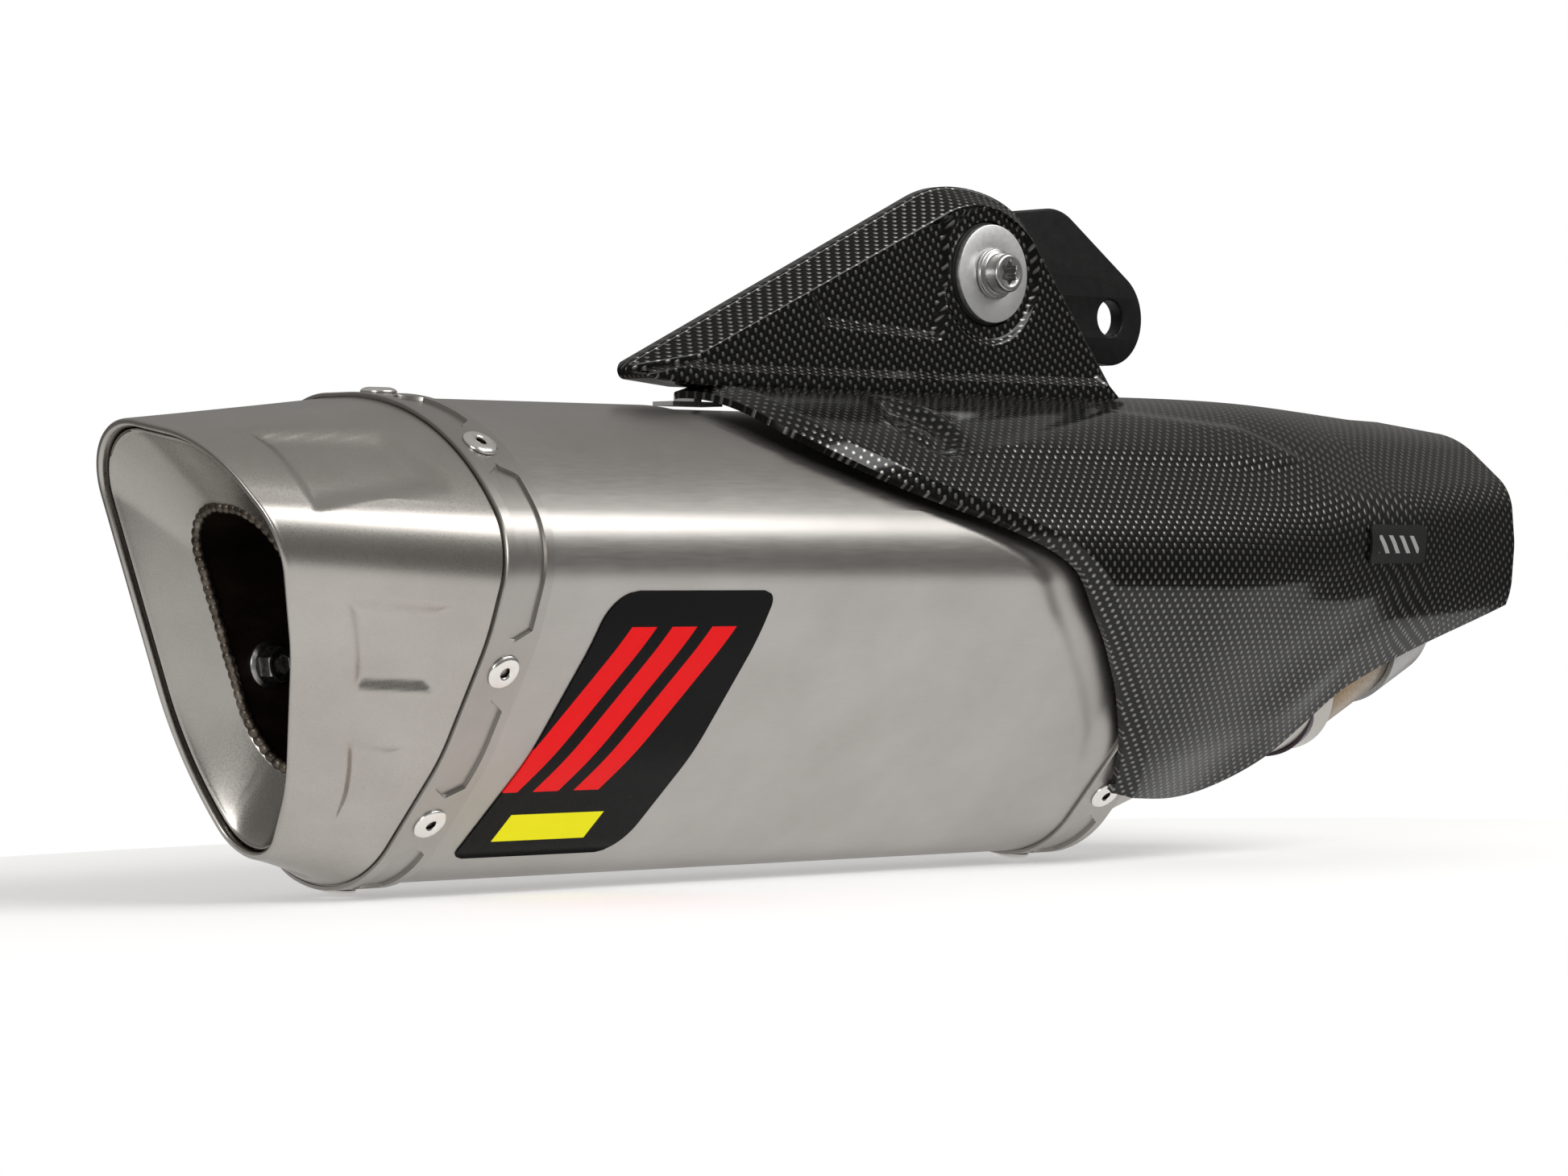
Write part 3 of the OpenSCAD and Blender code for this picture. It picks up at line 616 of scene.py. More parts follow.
MAT.update(
    soot=make_soot(), weld=make_weld(), tint=make_tint(), carbon=make_carbon(), decal=make_decal(),
    badge=make_badge(),
    rubber=dull("black_rubber", (0.010, 0.010, 0.010), (0.024, 0.023, 0.022), 0.55, 0.75, 1600, 0.2),
    paint=dull("black_paint", (0.005, 0.005, 0.005), (0.011, 0.011, 0.011), 0.36, 0.5, 2200, 0.16),
    fibre=dull("packing_fibre", (0.30, 0.27, 0.17), (0.52, 0.48, 0.34), 0.85, 0.95, 700, 0.8, 0.001))

# ---------- end cap ----------

CAP_T = 1.2
LIP_BEAD = 1.0
SEAT_INSET = 1.4
JOINT_GAP = 0.4
COLLAR_LEN = 14.0
COLLAR_OUT, COLLAR_IN = 2.2, 3.4
# Pressed pockets, as corners in (distance round the cap, distance from the joint towards the lip).
# Both are nominal: the cap counts as CAP_ROUND round at mid-depth and CAP_DOWN deep everywhere.
CAP_ROUND = 313.8
CAP_DOWN = 45
POCKETS = [[(63, 34), (71.5, 9), (88, 6), (97, 35)],
           [(119, 33), (122, 9), (146, 8), (143, 30)],
           [(156, 30), (162, 12), (183, 13), (182, 26)],
           [(210, 24), (212, 10), (232, 10), (230, 24)],
           [(262, 30), (262, 9), (292, 9), (290, 32)]]
POCKET_DEPTH = 2.2
POCKET_EDGE = 5.0
POCKET_GROWTH = 1.2


def cap_surface(w, inset):
    """Rings of the end cap's pressing; w runs from the joint, 0, to the lip, 1."""
    seat, lip = body_outline(SEAT_INSET + inset), lip_outline(inset)
    middle = (seat + lip) / 2
    arc = arc_lengths(middle)
    arc = arc * CAP_ROUND / (arc[-1] + np.linalg.norm(middle[0] - middle[-1]))
    w = np.asarray(w)[:, None]
    x = w * (lip_x(lip[:, 1]) + LIP_BEAD) - (1 - w) * JOINT_GAP
    q = seat + (lip - seat) * w[..., None]
    along, down = np.broadcast_arrays(arc, w * CAP_DOWN)
    depth = sum(POCKET_DEPTH * step(0, POCKET_EDGE, POCKET_GROWTH - polygon_distance(along, down, p))
                for p in POCKETS)
    tangent = np.roll(q, -1, axis=1) - np.roll(q, 1, axis=1)
    normal = np.stack([tangent[..., 1], -tangent[..., 0]], -1)
    normal /= np.linalg.norm(normal, axis=-1, keepdims=True)
    q = q - normal * depth[..., None]
    return np.concatenate([x[..., None], q], -1)


def build_end_cap():
    """The pressing, its rolled lip, the return inside it, and the collar inside the band."""
    outer = list(cap_surface(np.linspace(0, 1, 72), 0))
    for t in np.linspace(0, math.pi, 9)[1:]:
        ring = lip_outline(LIP_BEAD * (1 - math.cos(t)))
        outer.append(rows_of(ring, lip_x(ring[:, 1]) + LIP_BEAD * (1 - math.sin(t))))
    for inset, depth in ((2.05, 3.0), (1.7, 4.2)):
        ring = lip_outline(inset)
        outer.append(rows_of(ring, lip_x(ring[:, 1]) + depth))
    inside = cap_surface(np.linspace(0.88, 0, 40), CAP_T)
    seat = [rows_of(body_outline(inset), x) for x, inset in
            ((1.0, COLLAR_IN), (COLLAR_LEN, COLLAR_IN), (COLLAR_LEN, COLLAR_OUT), (-0.1, COLLAR_OUT),
             (-JOINT_GAP, 1.7))]
    return torus([*outer, *inside, *seat])


piece("end_cap_shell", build_end_cap(), MAT["cap_steel"], ["end_cap"], sharp=50)


def funnel_rings(levels, lift=0.0):
    """Rings from the lip to the outlet, at (share of the way, depth behind the lip)."""
    lip, mouth = lip_outline(2.2), outline(OUTLET, OUTLET_R, -0.3)
    rings = []
    for w, depth in levels:
        q = lip + (mouth - lip) * w
        rings.append(rows_of(q, lip_x(q[:, 1]) + depth + lift))
    return rings


def build_funnel():
    """A dished plate with a flange under the lip and a turned edge at the outlet."""
    levels = [(0.0, 5.0), (0.004, 3.2), (0.012, 2.5), (0.03, 2.2), (0.055, 2.4)]
    for w in np.linspace(0.08, 0.93, 34):
        levels.append((w, 2.4 + 11.6 * ((w - 0.055) / 0.945) ** 0.85))
    levels += [(0.965, 14.0), (0.99, 14.9), (1.0, 16.2)]
    front = funnel_rings(levels)
    back = funnel_rings(levels[::-1][:-2], 1.0)
    return torus([*front, *back])


piece("outlet_dish", build_funnel(), MAT["funnel"], ["outlet_funnel"], sharp=60)


WELD_PITCH = 2.4


def build_weld():
    """A laid bead whose ripples lean over one another."""
    base = outline(OUTLET, OUTLET_R, 0.0, 90, 70)
    arc = arc_lengths(base)
    size = 1.15 + 0.5 * np.sin(math.pi * ((arc / WELD_PITCH) % 1.0)) ** 0.7
    rng = np.random.default_rng(7)
    size *= 1 + 0.05 * np.interp(arc, np.arange(0, 200, 2.1), rng.normal(size=96))
    n = normals(base)
    rings = []
    for t in full_turn(12):
        q = base + n * (0.55 + size * math.cos(t))[:, None]
        x = lip_x(base[:, 1]) + 14.6 - size * 0.9 * math.sin(t)
        rings.append(np.c_[x, q])
    return torus(rings)


piece("outlet_weld", build_weld(), MAT["weld"], sharp=70)

PIPE_WALL = 1.2
PIPE_STRAIGHT = 18
PIPE_ROUND_X = 10
PIPE_END_X = 24


def build_outlet_pipe():
    """A pipe that turns from the outlet's outline into the core's round spigot."""
    def rings(offset, radius):
        mouth = outline(OUTLET, OUTLET_R, offset)
        a = np.arctan2(mouth[:, 1], mouth[:, 0] - CORE_Y)
        circle = np.c_[CORE_Y + radius * np.cos(a), radius * np.sin(a)]
        start = lip_x(mouth[:, 1]) + FUNNEL_DEPTH
        out = [rows_of(mouth, start + d) for d in np.linspace(1.0, PIPE_STRAIGHT, 8)]
        for w in np.linspace(0, 1, 16)[1:]:
            x = (start + PIPE_STRAIGHT) * (1 - w) + PIPE_ROUND_X * w
            out.append(rows_of(mouth + (circle - mouth) * step(0, 1, w), x))
        out.append(rows_of(circle, PIPE_END_X))
        return out
    return torus([*rings(-PIPE_WALL, SPIGOT_R), *rings(0, SPIGOT_R - PIPE_WALL)[::-1]])


# The tube's near-black colour is soot plus painted shade inside the pipe.
piece("outlet_tube", build_outlet_pipe(), MAT["soot"], ["outlet_pipe"], sharp=50)

# ---------- fasteners ----------

OUTLET_BOLT = (-16.5, 23, -6)
# Profiles are points of (radius, height).
bolt = shaped(("hex", (0, 3), (2.4, 3), (2.4, 5.7)), ("round", (2.8, 6), (4.1, 6)),
              ("hex", (4.75, 5.5), (4.75, 1.6)),
              ("round", (5.2, 1.5), (6.3, 0.7), (6.3, 0.1), (3, 0.1), (3, -8.6), (2.6, -9), (0, -9)))
nut = shaped(("round", (3.1, -11.2), (4.9, -11.2)), ("hex", (5.7, -10.8), (5.7, -6.7)),
             ("round", (4.9, -6.35), (3.1, -6.35)))
piece("outlet_screw", turned(bolt, OUTLET_BOLT, (0, -1, 0), r=0.35, spin=0.35), MAT["zinc"],
      ["outlet_bolt"])
piece("outlet_hexnut", turned(nut, OUTLET_BOLT, (0, -1, 0), r=0.2), MAT["zinc"], ["outlet_nut"])

RIVET = [(0, -0.9), (1.25, -0.8), (1.3, 0.7), (1.75, 1.2), (2.4, 1.4), (3.2, 1.3), (4.1, 1.0),
         (4.7, 0.5), (4.75, 0.0), (2.35, 0), (2.35, -4.4), (0, -4.4)]


def build_rivets(x):
    """A band's eight blind rivets, in one mesh."""
    parts = []
    for angle in RIVET_ANGLES:
        (y, z), n = on_body(angle)
        parts.append(turned(RIVET, (x, y, z), (0, *n), 56, 0.15))
    return merged(parts)


def painted_shade_in_rivet_bore(points, x):
    """True for the faces inside a rivet's centre, which take the near-black soot material as painted
    shade in the bore.
    """
    hit = np.zeros(len(points), bool)
    for angle in RIVET_ANGLES:
        (y, z), n = on_body(angle)
        d = points - [x, y, z]
        along = d[:, 1] * n[0] + d[:, 2] * n[1]
        off = np.sqrt(np.maximum(0, (d ** 2).sum(1) - along ** 2))
        hit |= (off < 1.5) & (along > -1.0) & (along < 1.15)
    return hit


for end, x in (("rear", BAND_W / 2), ("front", CANISTER_LEN - BAND_W / 2)):
    # Faces in each rivet's bore take the near-black soot material, as painted shade.
    piece(f"{end}_pop_rivets", build_rivets(x), MAT["rivet"], [f"{end}_rivets"],
          sharp=60, extra=(MAT["soot"], lambda p, x=x: painted_shade_in_rivet_bore(p, x)))

# ---------- bands and sleeve ----------

# A window starts as a point at WINDOW_START from a rivet, and is full height at WINDOW_FULL.
WINDOW_HALF = 4.8
WINDOW_START = 8.5
WINDOW_FULL = 11.64


def window_half_width(points):
    """How wide the band's window is at each place along the outline."""
    arc = arc_lengths(points)
    total = arc[-1] + np.linalg.norm(points[0] - points[-1])
    nearest = np.full(len(points), 1e9)
    for angle in RIVET_ANGLES:
        (y, z), _ = on_body(angle)
        at = arc[np.argmin(np.hypot(points[:, 0] - y, points[:, 1] - z))]
        d = np.abs(arc - at)
        nearest = np.minimum(nearest, np.minimum(d, total - d))
    return WINDOW_HALF * np.clip((nearest - WINDOW_START) / (WINDOW_FULL - WINDOW_START), 0, 1)


def build_band(x0):
    """A strap with eased edges, whose windows are sunk almost to the sleeve."""
    fine = dict(arc=60, straight=44)
    top = outline(BODY, BODY_R, 0.0, **fine)
    floor = outline(BODY, BODY_R, 1.0, **fine)
    edge = outline(BODY, BODY_R, 0.3, **fine)
    half = window_half_width(top)
    drop = np.clip(half / 0.5, 0, 1)[:, None]
    sunk = top + (floor - top) * drop * 0.96
    mid = x0 + BAND_W / 2
    half = np.maximum(half, 0.05)
    rows = [rows_of(edge, x0), rows_of(top, x0 + 0.25), rows_of(top, mid - half - 0.9),
            rows_of(top, mid - half - 0.12), rows_of(sunk, mid - half + 0.02)]
    for t in np.linspace(-0.9, 0.9, 5):
        rows.append(rows_of(sunk, mid + half * t))
    rows += [rows_of(sunk, mid + half - 0.02), rows_of(top, mid + half + 0.12),
             rows_of(top, mid + half + 0.9), rows_of(top, x0 + BAND_W - 0.25),
             rows_of(edge, x0 + BAND_W), rows_of(floor, x0 + BAND_W), rows_of(floor, x0)]
    return torus(rows)


for end, x in (("rear", 0), ("front", CANISTER_LEN - BAND_W)):
    piece(f"{end}_band_strap", build_band(x), MAT["band"], [f"{end}_band"], sharp=30)

# The heat shield's rear edge, as (height, station).
REAR_EDGE = np.array([(-46, 260), (-19, 240), (8, 213), (20, 204), (31, 181), (43, 143), (56, 118),
                      (65.5, 113), (68.3, 112)], float)
SLEEVE_OUT, SLEEVE_IN = 1.1, 2.1


def rear_edge(z):
    """A smoothed version of the rear edge's station at a height."""
    z = np.asarray(z, float)
    return sum(np.interp(z + d, REAR_EDGE[:, 0], REAR_EDGE[:, 1]) for d in (-4, -2, 0, 2, 4)) / 5


def build_sleeve():
    """The sleeve, which stands in a little under the heat shield."""
    outer, inner = body_outline(SLEEVE_OUT), body_outline(SLEEVE_IN)
    n = normals(outer)
    side = step(30, 10, outer[:, 0])
    rows, back = [], []
    for x in np.linspace(0.4, CANISTER_LEN - 0.4, 190):
        ahead = x - (rear_edge(outer[:, 1] * 1.06) - 15)
        sink = 1.1 * step(0, 9, ahead) * side * step(252, 240, x)
        rows.append(rows_of(outer - n * sink[:, None], x))
        back.append(rows_of(inner - n * sink[:, None], x))
    return shell(rows, back, True)


piece("sleeve_skin", build_sleeve(), MAT["sleeve"], ["sleeve"], sharp=50)

PACKING_X = (17, 252)
PACKING_BORE_R = 27.2


def build_packing():
    """The wool between the core and the sleeve."""
    skin = body_outline(4.0)
    a = np.arctan2(skin[:, 1], skin[:, 0] - CORE_Y)
    bore = np.c_[CORE_Y + PACKING_BORE_R * np.cos(a), PACKING_BORE_R * np.sin(a)]
    rows = [rows_of(skin, x) for x in np.linspace(*PACKING_X, 24)]
    rows += [rows_of(bore, x) for x in np.linspace(*PACKING_X[::-1], 24)]
    return torus(rows)


piece("packing_wool", build_packing(), MAT["fibre"], ["packing"])

DECAL_TOP, DECAL_BOTTOM = 12.5, -56
DECAL_X, DECAL_LEN, DECAL_LEAN = 38, 57, 14
DECAL_TOP_R, DECAL_BOTTOM_R = (9, 4), (3, 8)


def corner_start(near, r):
    """How far a rounded corner of radius r moves an edge's end, at a distance from the corner."""
    return r - math.sqrt(max(0, r * r - max(0, r - near) ** 2))


def build_decal():
    """A slanted patch with rounded corners, laid on the sleeve's outer side."""
    side = body_outline(SLEEVE_OUT)
    keep = (side[:, 0] < 0) & (np.abs(side[:, 1]) < 62)
    table = side[keep][np.argsort(side[keep][:, 1])]
    rows = np.r_[np.linspace(0, 0.1, 12), np.linspace(0.12, 0.88, 40), np.linspace(0.9, 1, 12)]
    height = DECAL_TOP - DECAL_BOTTOM
    cols = np.r_[np.linspace(0, 0.06, 6), np.linspace(0.1, 0.9, 16), np.linspace(0.94, 1, 6)]
    high, low, uv = [], [], []
    for t in rows:
        z = DECAL_TOP - height * t
        below, y, above = np.interp([z - 1, z, z + 1], table[:, 1], table[:, 0])
        n = unit([-2, above - below])
        near = min(t, 1 - t) * height
        starts = [corner_start(near, r) for r in (DECAL_TOP_R if t < 0.5 else DECAL_BOTTOM_R)]
        x = DECAL_X + starts[0] + (DECAL_LEN - starts[0] - starts[1]) * cols - DECAL_LEAN * t
        for rim, out in ((0.4, high), (0.1, low)):
            out.append(np.c_[x, np.full(len(x), y + n[0] * rim), np.full(len(x), z + n[1] * rim)])
        uv.append(np.c_[x - DECAL_X + DECAL_LEAN * t, np.full(len(x), height * t)])
    return mapped_shell(high, low, uv)


piece("side_sticker", build_decal(), MAT["decal"], ["side_decal"])

# ---------- heat shield ----------

# Sections of the moulding at the stations in SHIELD_X, from its inner top edge over the outer side.
SHIELD_X = [260, 300, 322, 345, 418]
SHIELD = [
    [(11.2, 67.6), (10, 68), (-25, 68.3), (-58.3, 23.7), (-48.5, -1.5), (-29.5, -33), (-16.5, -47)],
    [(16, 67.6), (13, 68), (-24, 67.5), (-55, 27), (-46, 0), (-28, -28), (-9, -47)],
    [(23, 64), (17, 67.4), (-22, 66.8), (-52, 31), (-46, 7), (-33.5, -18), (-18, -37)],
    [(30, 60), (22, 66.4), (-20, 65.2), (-48, 34), (-44.5, 14), (-39, -2), (-31, -16)],
    [(30, 56), (22, 64.5), (-14, 58.5), (-34.5, 42), (-35.8, 26), (-34.5, 12), (-32.5, 7.5)]]
SHIELD_R = [[5, 66, 27, 75, 65], [5, 55, 26, 65, 60], [6, 45, 24, 45, 50], [9, 40, 20, 40, 40],
            [9, 30, 14, 20, 20]]
SHIELD_T = 2.0
FLANGE = 8.0
FLANGE_DROP = 2.2


def shield_path(corners, radii):
    """An open section with its corners rounded."""
    c = np.asarray(corners, float)
    arcs = [c[:1]]
    arcs += [corner_arc(c[i - 1], c[i], c[i + 1], radii[i - 1], 30) for i in range(1, len(c) - 1)]
    arcs.append(c[-1:])
    return join_arcs(arcs, 16, False)


def shield_sections():
    """Paths at the stations, with smooth tangents along X between them."""
    paths = np.array([shield_path(c, r) for c, r in zip(SHIELD, SHIELD_R)])
    slopes = np.zeros_like(paths)
    for k in range(1, len(SHIELD_X)):
        span = slice(k - 1, k + 2)
        xs = np.array(SHIELD_X[span], float)
        slopes[k] = (paths[span][-1] - paths[span][0]) / (xs[-1] - xs[0])
    return paths, slopes


PATHS, SLOPES = shield_sections()


def shield_points(x):
    """The section's points, when point j lies at station x[j]."""
    x = np.asarray(x, float)
    k = np.clip(np.searchsorted(SHIELD_X, x) - 1, 0, len(SHIELD_X) - 2)
    j = np.arange(len(x))
    x0, x1 = np.take(SHIELD_X, k), np.take(SHIELD_X, k + 1)
    h = (x1 - x0)[:, None]
    t = np.clip((x - x0) / (x1 - x0), 0, 1)[:, None]
    p0, p1, m0, m1 = PATHS[k, j], PATHS[k + 1, j], SLOPES[k, j] * h, SLOPES[k + 1, j] * h
    return ((2 * t ** 3 - 3 * t ** 2 + 1) * p0 + (t ** 3 - 2 * t ** 2 + t) * m0
            + (3 * t ** 2 - 2 * t ** 3) * p1 + (t ** 3 - t ** 2) * m1)


BLISTER = [(178, 49.5), (253, 63), (300, 58.5), (316, 50), (306, 47.5)]
DIMPLE = (168.5, 57.0)


def shield_relief(x, q):
    """How far the moulding's skin stands in from its plain shape."""
    along = x - rear_edge(q[:, 1])
    flange = FLANGE_DROP * np.clip(1 - along / FLANGE, 0, 1)
    outer = step(5, -12, q[:, 0])
    blister = -1.3 * step(0, 3.5, 1.5 - polygon_distance(x, q[:, 1], BLISTER)) * outer
    r = np.hypot(x - DIMPLE[0], (q[:, 1] - DIMPLE[1]) * 1.35)
    dimple = (3.0 * step(12, 7, r) - 1.2 * step(6, 2, r)) * outer
    return flange + blister + dimple


def build_shield():
    """The moulding, in rows that run from its stepped rear edge to its front edge."""
    rear = rear_edge(PATHS[0][:, 1])
    m = len(rear)
    outer, inner, uv = [], [], []
    rows = [rear + FLANGE * t for t in np.linspace(0, 1, 10)]
    rows += [rear + FLANGE + (SHIELD_X[-1] - rear - FLANGE) * t for t in np.linspace(0, 1, 200)[1:]]
    for x in rows:
        q = shield_points(x)
        n = np.array([outward(q[max(0, j - 1)], q[min(m - 1, j + 1)]) for j in range(m)])
        skin = q - n * shield_relief(x, q)[:, None]
        outer.append(np.c_[x, skin])
        inner.append(np.c_[x, skin - n * SHIELD_T])
        length = np.r_[0, np.cumsum(np.linalg.norm(np.diff(q, axis=0), axis=1))]
        uv.append(np.c_[x, length])
    return mapped_shell(outer, inner, uv)


piece("shield_moulding", build_shield(), MAT["carbon"], ["heat_shield"], sharp=28)

# The fin stands in the XZ plane. A border joins its rim, FIN, to its flat face, FIN_FACE.
FIN = [(86, 69.5), (112, 67), (284, 66.3), (229.5, 134.9)]
FIN_R = [2.5, 20, 3, 38]
FIN_Y = 2
FIN_DEPTH = 10
FIN_T = 1.8
HANGER = np.array([227.5, 101.5])
FIN_HOLE_R = 15
FIN_FACE = [(110, 73.5), (126, 73.2), (275, 73.2), (232.3, 127.3)]
FIN_FACE_R = [1.5, 20, 2.5, 30]
# The weave on the fin is turned by 15 degrees.
WEAVE_COS, WEAVE_SIN = 0.966, 0.259
FIN_PANEL = [(158, 96), (163, 87), (206, 84.5), (210, 101), (210, 115), (197, 112)]


def edge_depth(rim, t):
    """How far the fin's border stands in, at t of the way from the crease to the rim."""
    n = normals(rim)
    foot = step(-0.3, -0.8, n[:, 1])
    front = step(-0.1, 0.6, n[:, 0])
    bevel = (6.5 - 4.5 * front) * (math.hypot(t, 0.1) - 0.1)
    return (1 - foot) * bevel - foot * 2.2 * min(1, t / 0.4)


def fin_relief(x, z):
    """How far the fin's face stands in: the recessed panel and the dish at the hole."""
    panel = 2.2 * step(0, 3.2, 2.8 - polygon_distance(x, z, FIN_PANEL))
    dish = 1.2 * step(20.5, 18, np.hypot(x - HANGER[0], z - HANGER[1]))
    return np.maximum(panel, dish)


def build_fin():
    """A hollow shell: the turned edge, the border, the face and its hole, and the back of them."""
    fine = dict(arc=46, straight=70)
    rim = outline(FIN, FIN_R, 0.0, **fine)
    start = outline(FIN, FIN_R, 0.8, **fine)
    crease = outline(FIN_FACE, FIN_FACE_R, 0.0, **fine)
    a = np.arctan2(crease[:, 1] - HANGER[1], crease[:, 0] - HANGER[0])
    hole = HANGER + FIN_HOLE_R * np.c_[np.cos(a), np.sin(a)]

    def ring(q, y):
        return np.c_[q[:, 0], np.broadcast_to(y, len(q)), q[:, 1]]

    back_y = FIN_Y + FIN_DEPTH
    edge = FIN_Y + edge_depth(rim, 1)
    rows = [ring(outline(FIN, FIN_R, 0.25, **fine), back_y), ring(rim, back_y - 0.3),
            ring(rim, edge + 1.0)]
    for t in np.linspace(0, math.pi / 2, 5)[1:]:
        q = outline(FIN, FIN_R, 0.8 * (1 - math.cos(t)), **fine)
        rows.append(ring(q, edge + 0.8 * (1 - math.sin(t)) + 0.08))
    for t in (0.9, 0.7, 0.5, 0.4, 0.33, 0.26, 0.2, 0.15, 0.11, 0.08, 0.05, 0.025):
        rows.append(ring(crease + (start - crease) * t, FIN_Y + edge_depth(rim, t)))
    face = [crease + (hole - crease) * w for w in np.linspace(0, 1, 120)]
    relief = [fin_relief(q[:, 0], q[:, 1]) for q in face]
    rows += [ring(q, FIN_Y + d) for q, d in zip(face, relief)]
    rows.append(ring(hole, FIN_Y + relief[-1] + 1.6))
    rows += [ring(q, FIN_Y + FIN_T + d) for q, d in zip(face[::-1], relief[::-1])]
    rows.append(ring(outline(FIN, FIN_R, 1.9, **fine), np.minimum(edge + 2.2, back_y - 0.8)))
    rows.append(ring(outline(FIN, FIN_R, 1.8, **fine), back_y - 0.2))
    points, faces = torus(rows)
    x, y, z = points.T
    uv = np.c_[x * WEAVE_COS + z * WEAVE_SIN + y, z * WEAVE_COS - x * WEAVE_SIN + y]
    return points, faces, uv


piece("shield_fin", build_fin(), MAT["carbon"], sharp=25)

BADGE_X, BADGE_LEN, BADGE_Z, BADGE_H = 334, 31, 20, 11
BADGE_CORNER_R = 1.6


def build_badge():
    """A small domed plate, laid on the moulding's outer side."""
    high, low, uv = [], [], []
    for t in np.linspace(0, 1, 15):
        start = corner_start(min(t, 1 - t) * BADGE_H, BADGE_CORNER_R)
        x = BADGE_X + start + (BADGE_LEN - 2 * start) * np.linspace(0, 1, 33)
        z = BADGE_Z + BADGE_H * (1 - t)
        top, bottom = [], []
        for xx in x:
            q = shield_points(np.full(len(PATHS[0]), xx))
            q = q[(q[:, 0] < 0) & (q[:, 1] < 60)]
            i = min(max(int(np.argmin(np.abs(q[:, 1] - z))), 1), len(q) - 2)
            n = outward(q[i - 1], q[i + 1])
            at = np.array([np.interp(z, q[::-1, 1], q[::-1, 0]), z])
            dome = 0.25 * math.sin(math.pi * t)
            top.append([xx, *(at + n * (0.9 + dome))])
            bottom.append([xx, *(at + n * 0.15)])
        high.append(top)
        low.append(bottom)
        uv.append(np.c_[x - BADGE_X, np.full(len(x), BADGE_H * t)])
    return mapped_shell(high, low, uv)


piece("shield_plate", build_badge(), MAT["badge"], ["shield_badge"])

# ---------- hanger ----------

COLLAR_Y, WASHER_Y, BRACKET_Y, NUT_Y = 0.8, 18.0, 19.8, 25.1
BRACKET_T = 5
BRACKET_BEVEL = 0.7
# From the mounting bolt, in the bracket's plane.
ARM_SHOULDER = [44.5, 5.5]
FRAME_HOLE = [70, -9.5]


def on_hanger(profile, y, r=0.3, count=96):
    return turned(profile, (HANGER[0], y, HANGER[1]), (0, 1, 0), count, r)


collar = [(4.2, 0), (13.9, 0), (13.9, 2), (6.5, 2), (6.5, 17), (4.2, 17)]
screw = shaped(("lobe", (0, -1.9), (3.1, -1.9), (3.2, -5.9)),
               ("round", (3.9, -6.4), (4.9, -6.4), (5.5, -5.8), (5.5, -1.8), (6.9, -1.55),
                (7.2, -1.2), (7.2, -0.1), (4, -0.1), (4, 31), (3.4, 31.8), (0, 31.8)))
washer = [(4.2, 0), (12, 0), (12, 1.5), (4.2, 1.5)]
hexnut = shaped(("round", (4.1, 0), (9, 0), (9, 1.2)), ("hex", (7.6, 1.8), (7.6, 6.4)),
                ("round", (6.6, 7), (4.1, 7)))
grommet = [(6.6, 2.9), (14.6, 2.9), (14.6, 12.3), (12, 12.3), (12, 15.7), (14.9, 15.7), (14.9, 17.8),
           (6.6, 17.8)]
piece("hanger_collar", on_hanger(collar, COLLAR_Y, 0.45), MAT["polished"], ["mount_collar"])
piece("hanger_screw", on_hanger(screw, COLLAR_Y, 0.4, 120), MAT["bolt"], ["mount_bolt"])
piece("hanger_washer", on_hanger(washer, WASHER_Y, 0.35), MAT["zinc"], ["mount_washer"])
piece("hanger_hexnut", on_hanger(hexnut, NUT_Y), MAT["bolt"], ["mount_nut"])
piece("hanger_grommet", on_hanger(grommet, 0, 0.7), MAT["rubber"], ["mount_grommet"])


def hull_outline(circles, count=240):
    """The outline round some circles, as the points furthest out in each direction."""
    points = []
    for t in full_turn(count):
        d = np.array([math.cos(t), math.sin(t)])
        best = max(circles, key=lambda c: c[0] @ d + c[1])
        points.append(best[0] + best[1] * d)
    return np.array(points)


def plate(circles, holes, y0, thickness, bevel):
    """A flat plate round some circles, with round holes and bevelled edges."""
    curve = bpy.data.curves.new("plate", "CURVE")
    curve.dimensions = "2D"
    curve.fill_mode = "BOTH"
    curve.extrude = (thickness / 2 - bevel) / 1000
    curve.bevel_depth = bevel / 1000
    curve.offset = -bevel / 1000
    curve.bevel_resolution = 2
    t = -full_turn(64)
    loops = [np.asarray(centre) + r * np.c_[np.cos(t), np.sin(t)] for centre, r in holes]
    for loop in [hull_outline(circles), *loops]:
        spline = curve.splines.new("POLY")
        spline.points.add(len(loop) - 1)
        co = np.c_[loop / 1000, np.zeros(len(loop)), np.ones(len(loop))]
        spline.points.foreach_set("co", co.ravel())
        spline.use_cyclic_u = True
    temp = new_object("plate", curve)
    bpy.context.view_layer.update()
    flat = bpy.data.meshes.new_from_object(temp.evaluated_get(bpy.context.evaluated_depsgraph_get()))
    co = np.zeros(len(flat.vertices) * 3)
    flat.vertices.foreach_get("co", co)
    co = co.reshape(-1, 3) * 1000
    faces = [list(p.vertices) for p in flat.polygons]
    bpy.data.objects.remove(temp)
    bpy.data.curves.remove(curve)
    bpy.data.meshes.remove(flat)
    return np.c_[co[:, 0], y0 + thickness / 2 - co[:, 2], co[:, 1]], faces


arm = plate([(HANGER, 17), (HANGER + ARM_SHOULDER, 16), (HANGER + FRAME_HOLE, 14)],
            [(HANGER, 4.08), (HANGER + FRAME_HOLE, 5.25)], BRACKET_Y, BRACKET_T, BRACKET_BEVEL)
piece("hanger_arm", arm, MAT["paint"], ["hanger_bracket"], body="hanger", sharp=30)

# ---------- inlet ----------

INLET_R = 27.2
INLET_OUT_R = INLET_R + 1.2

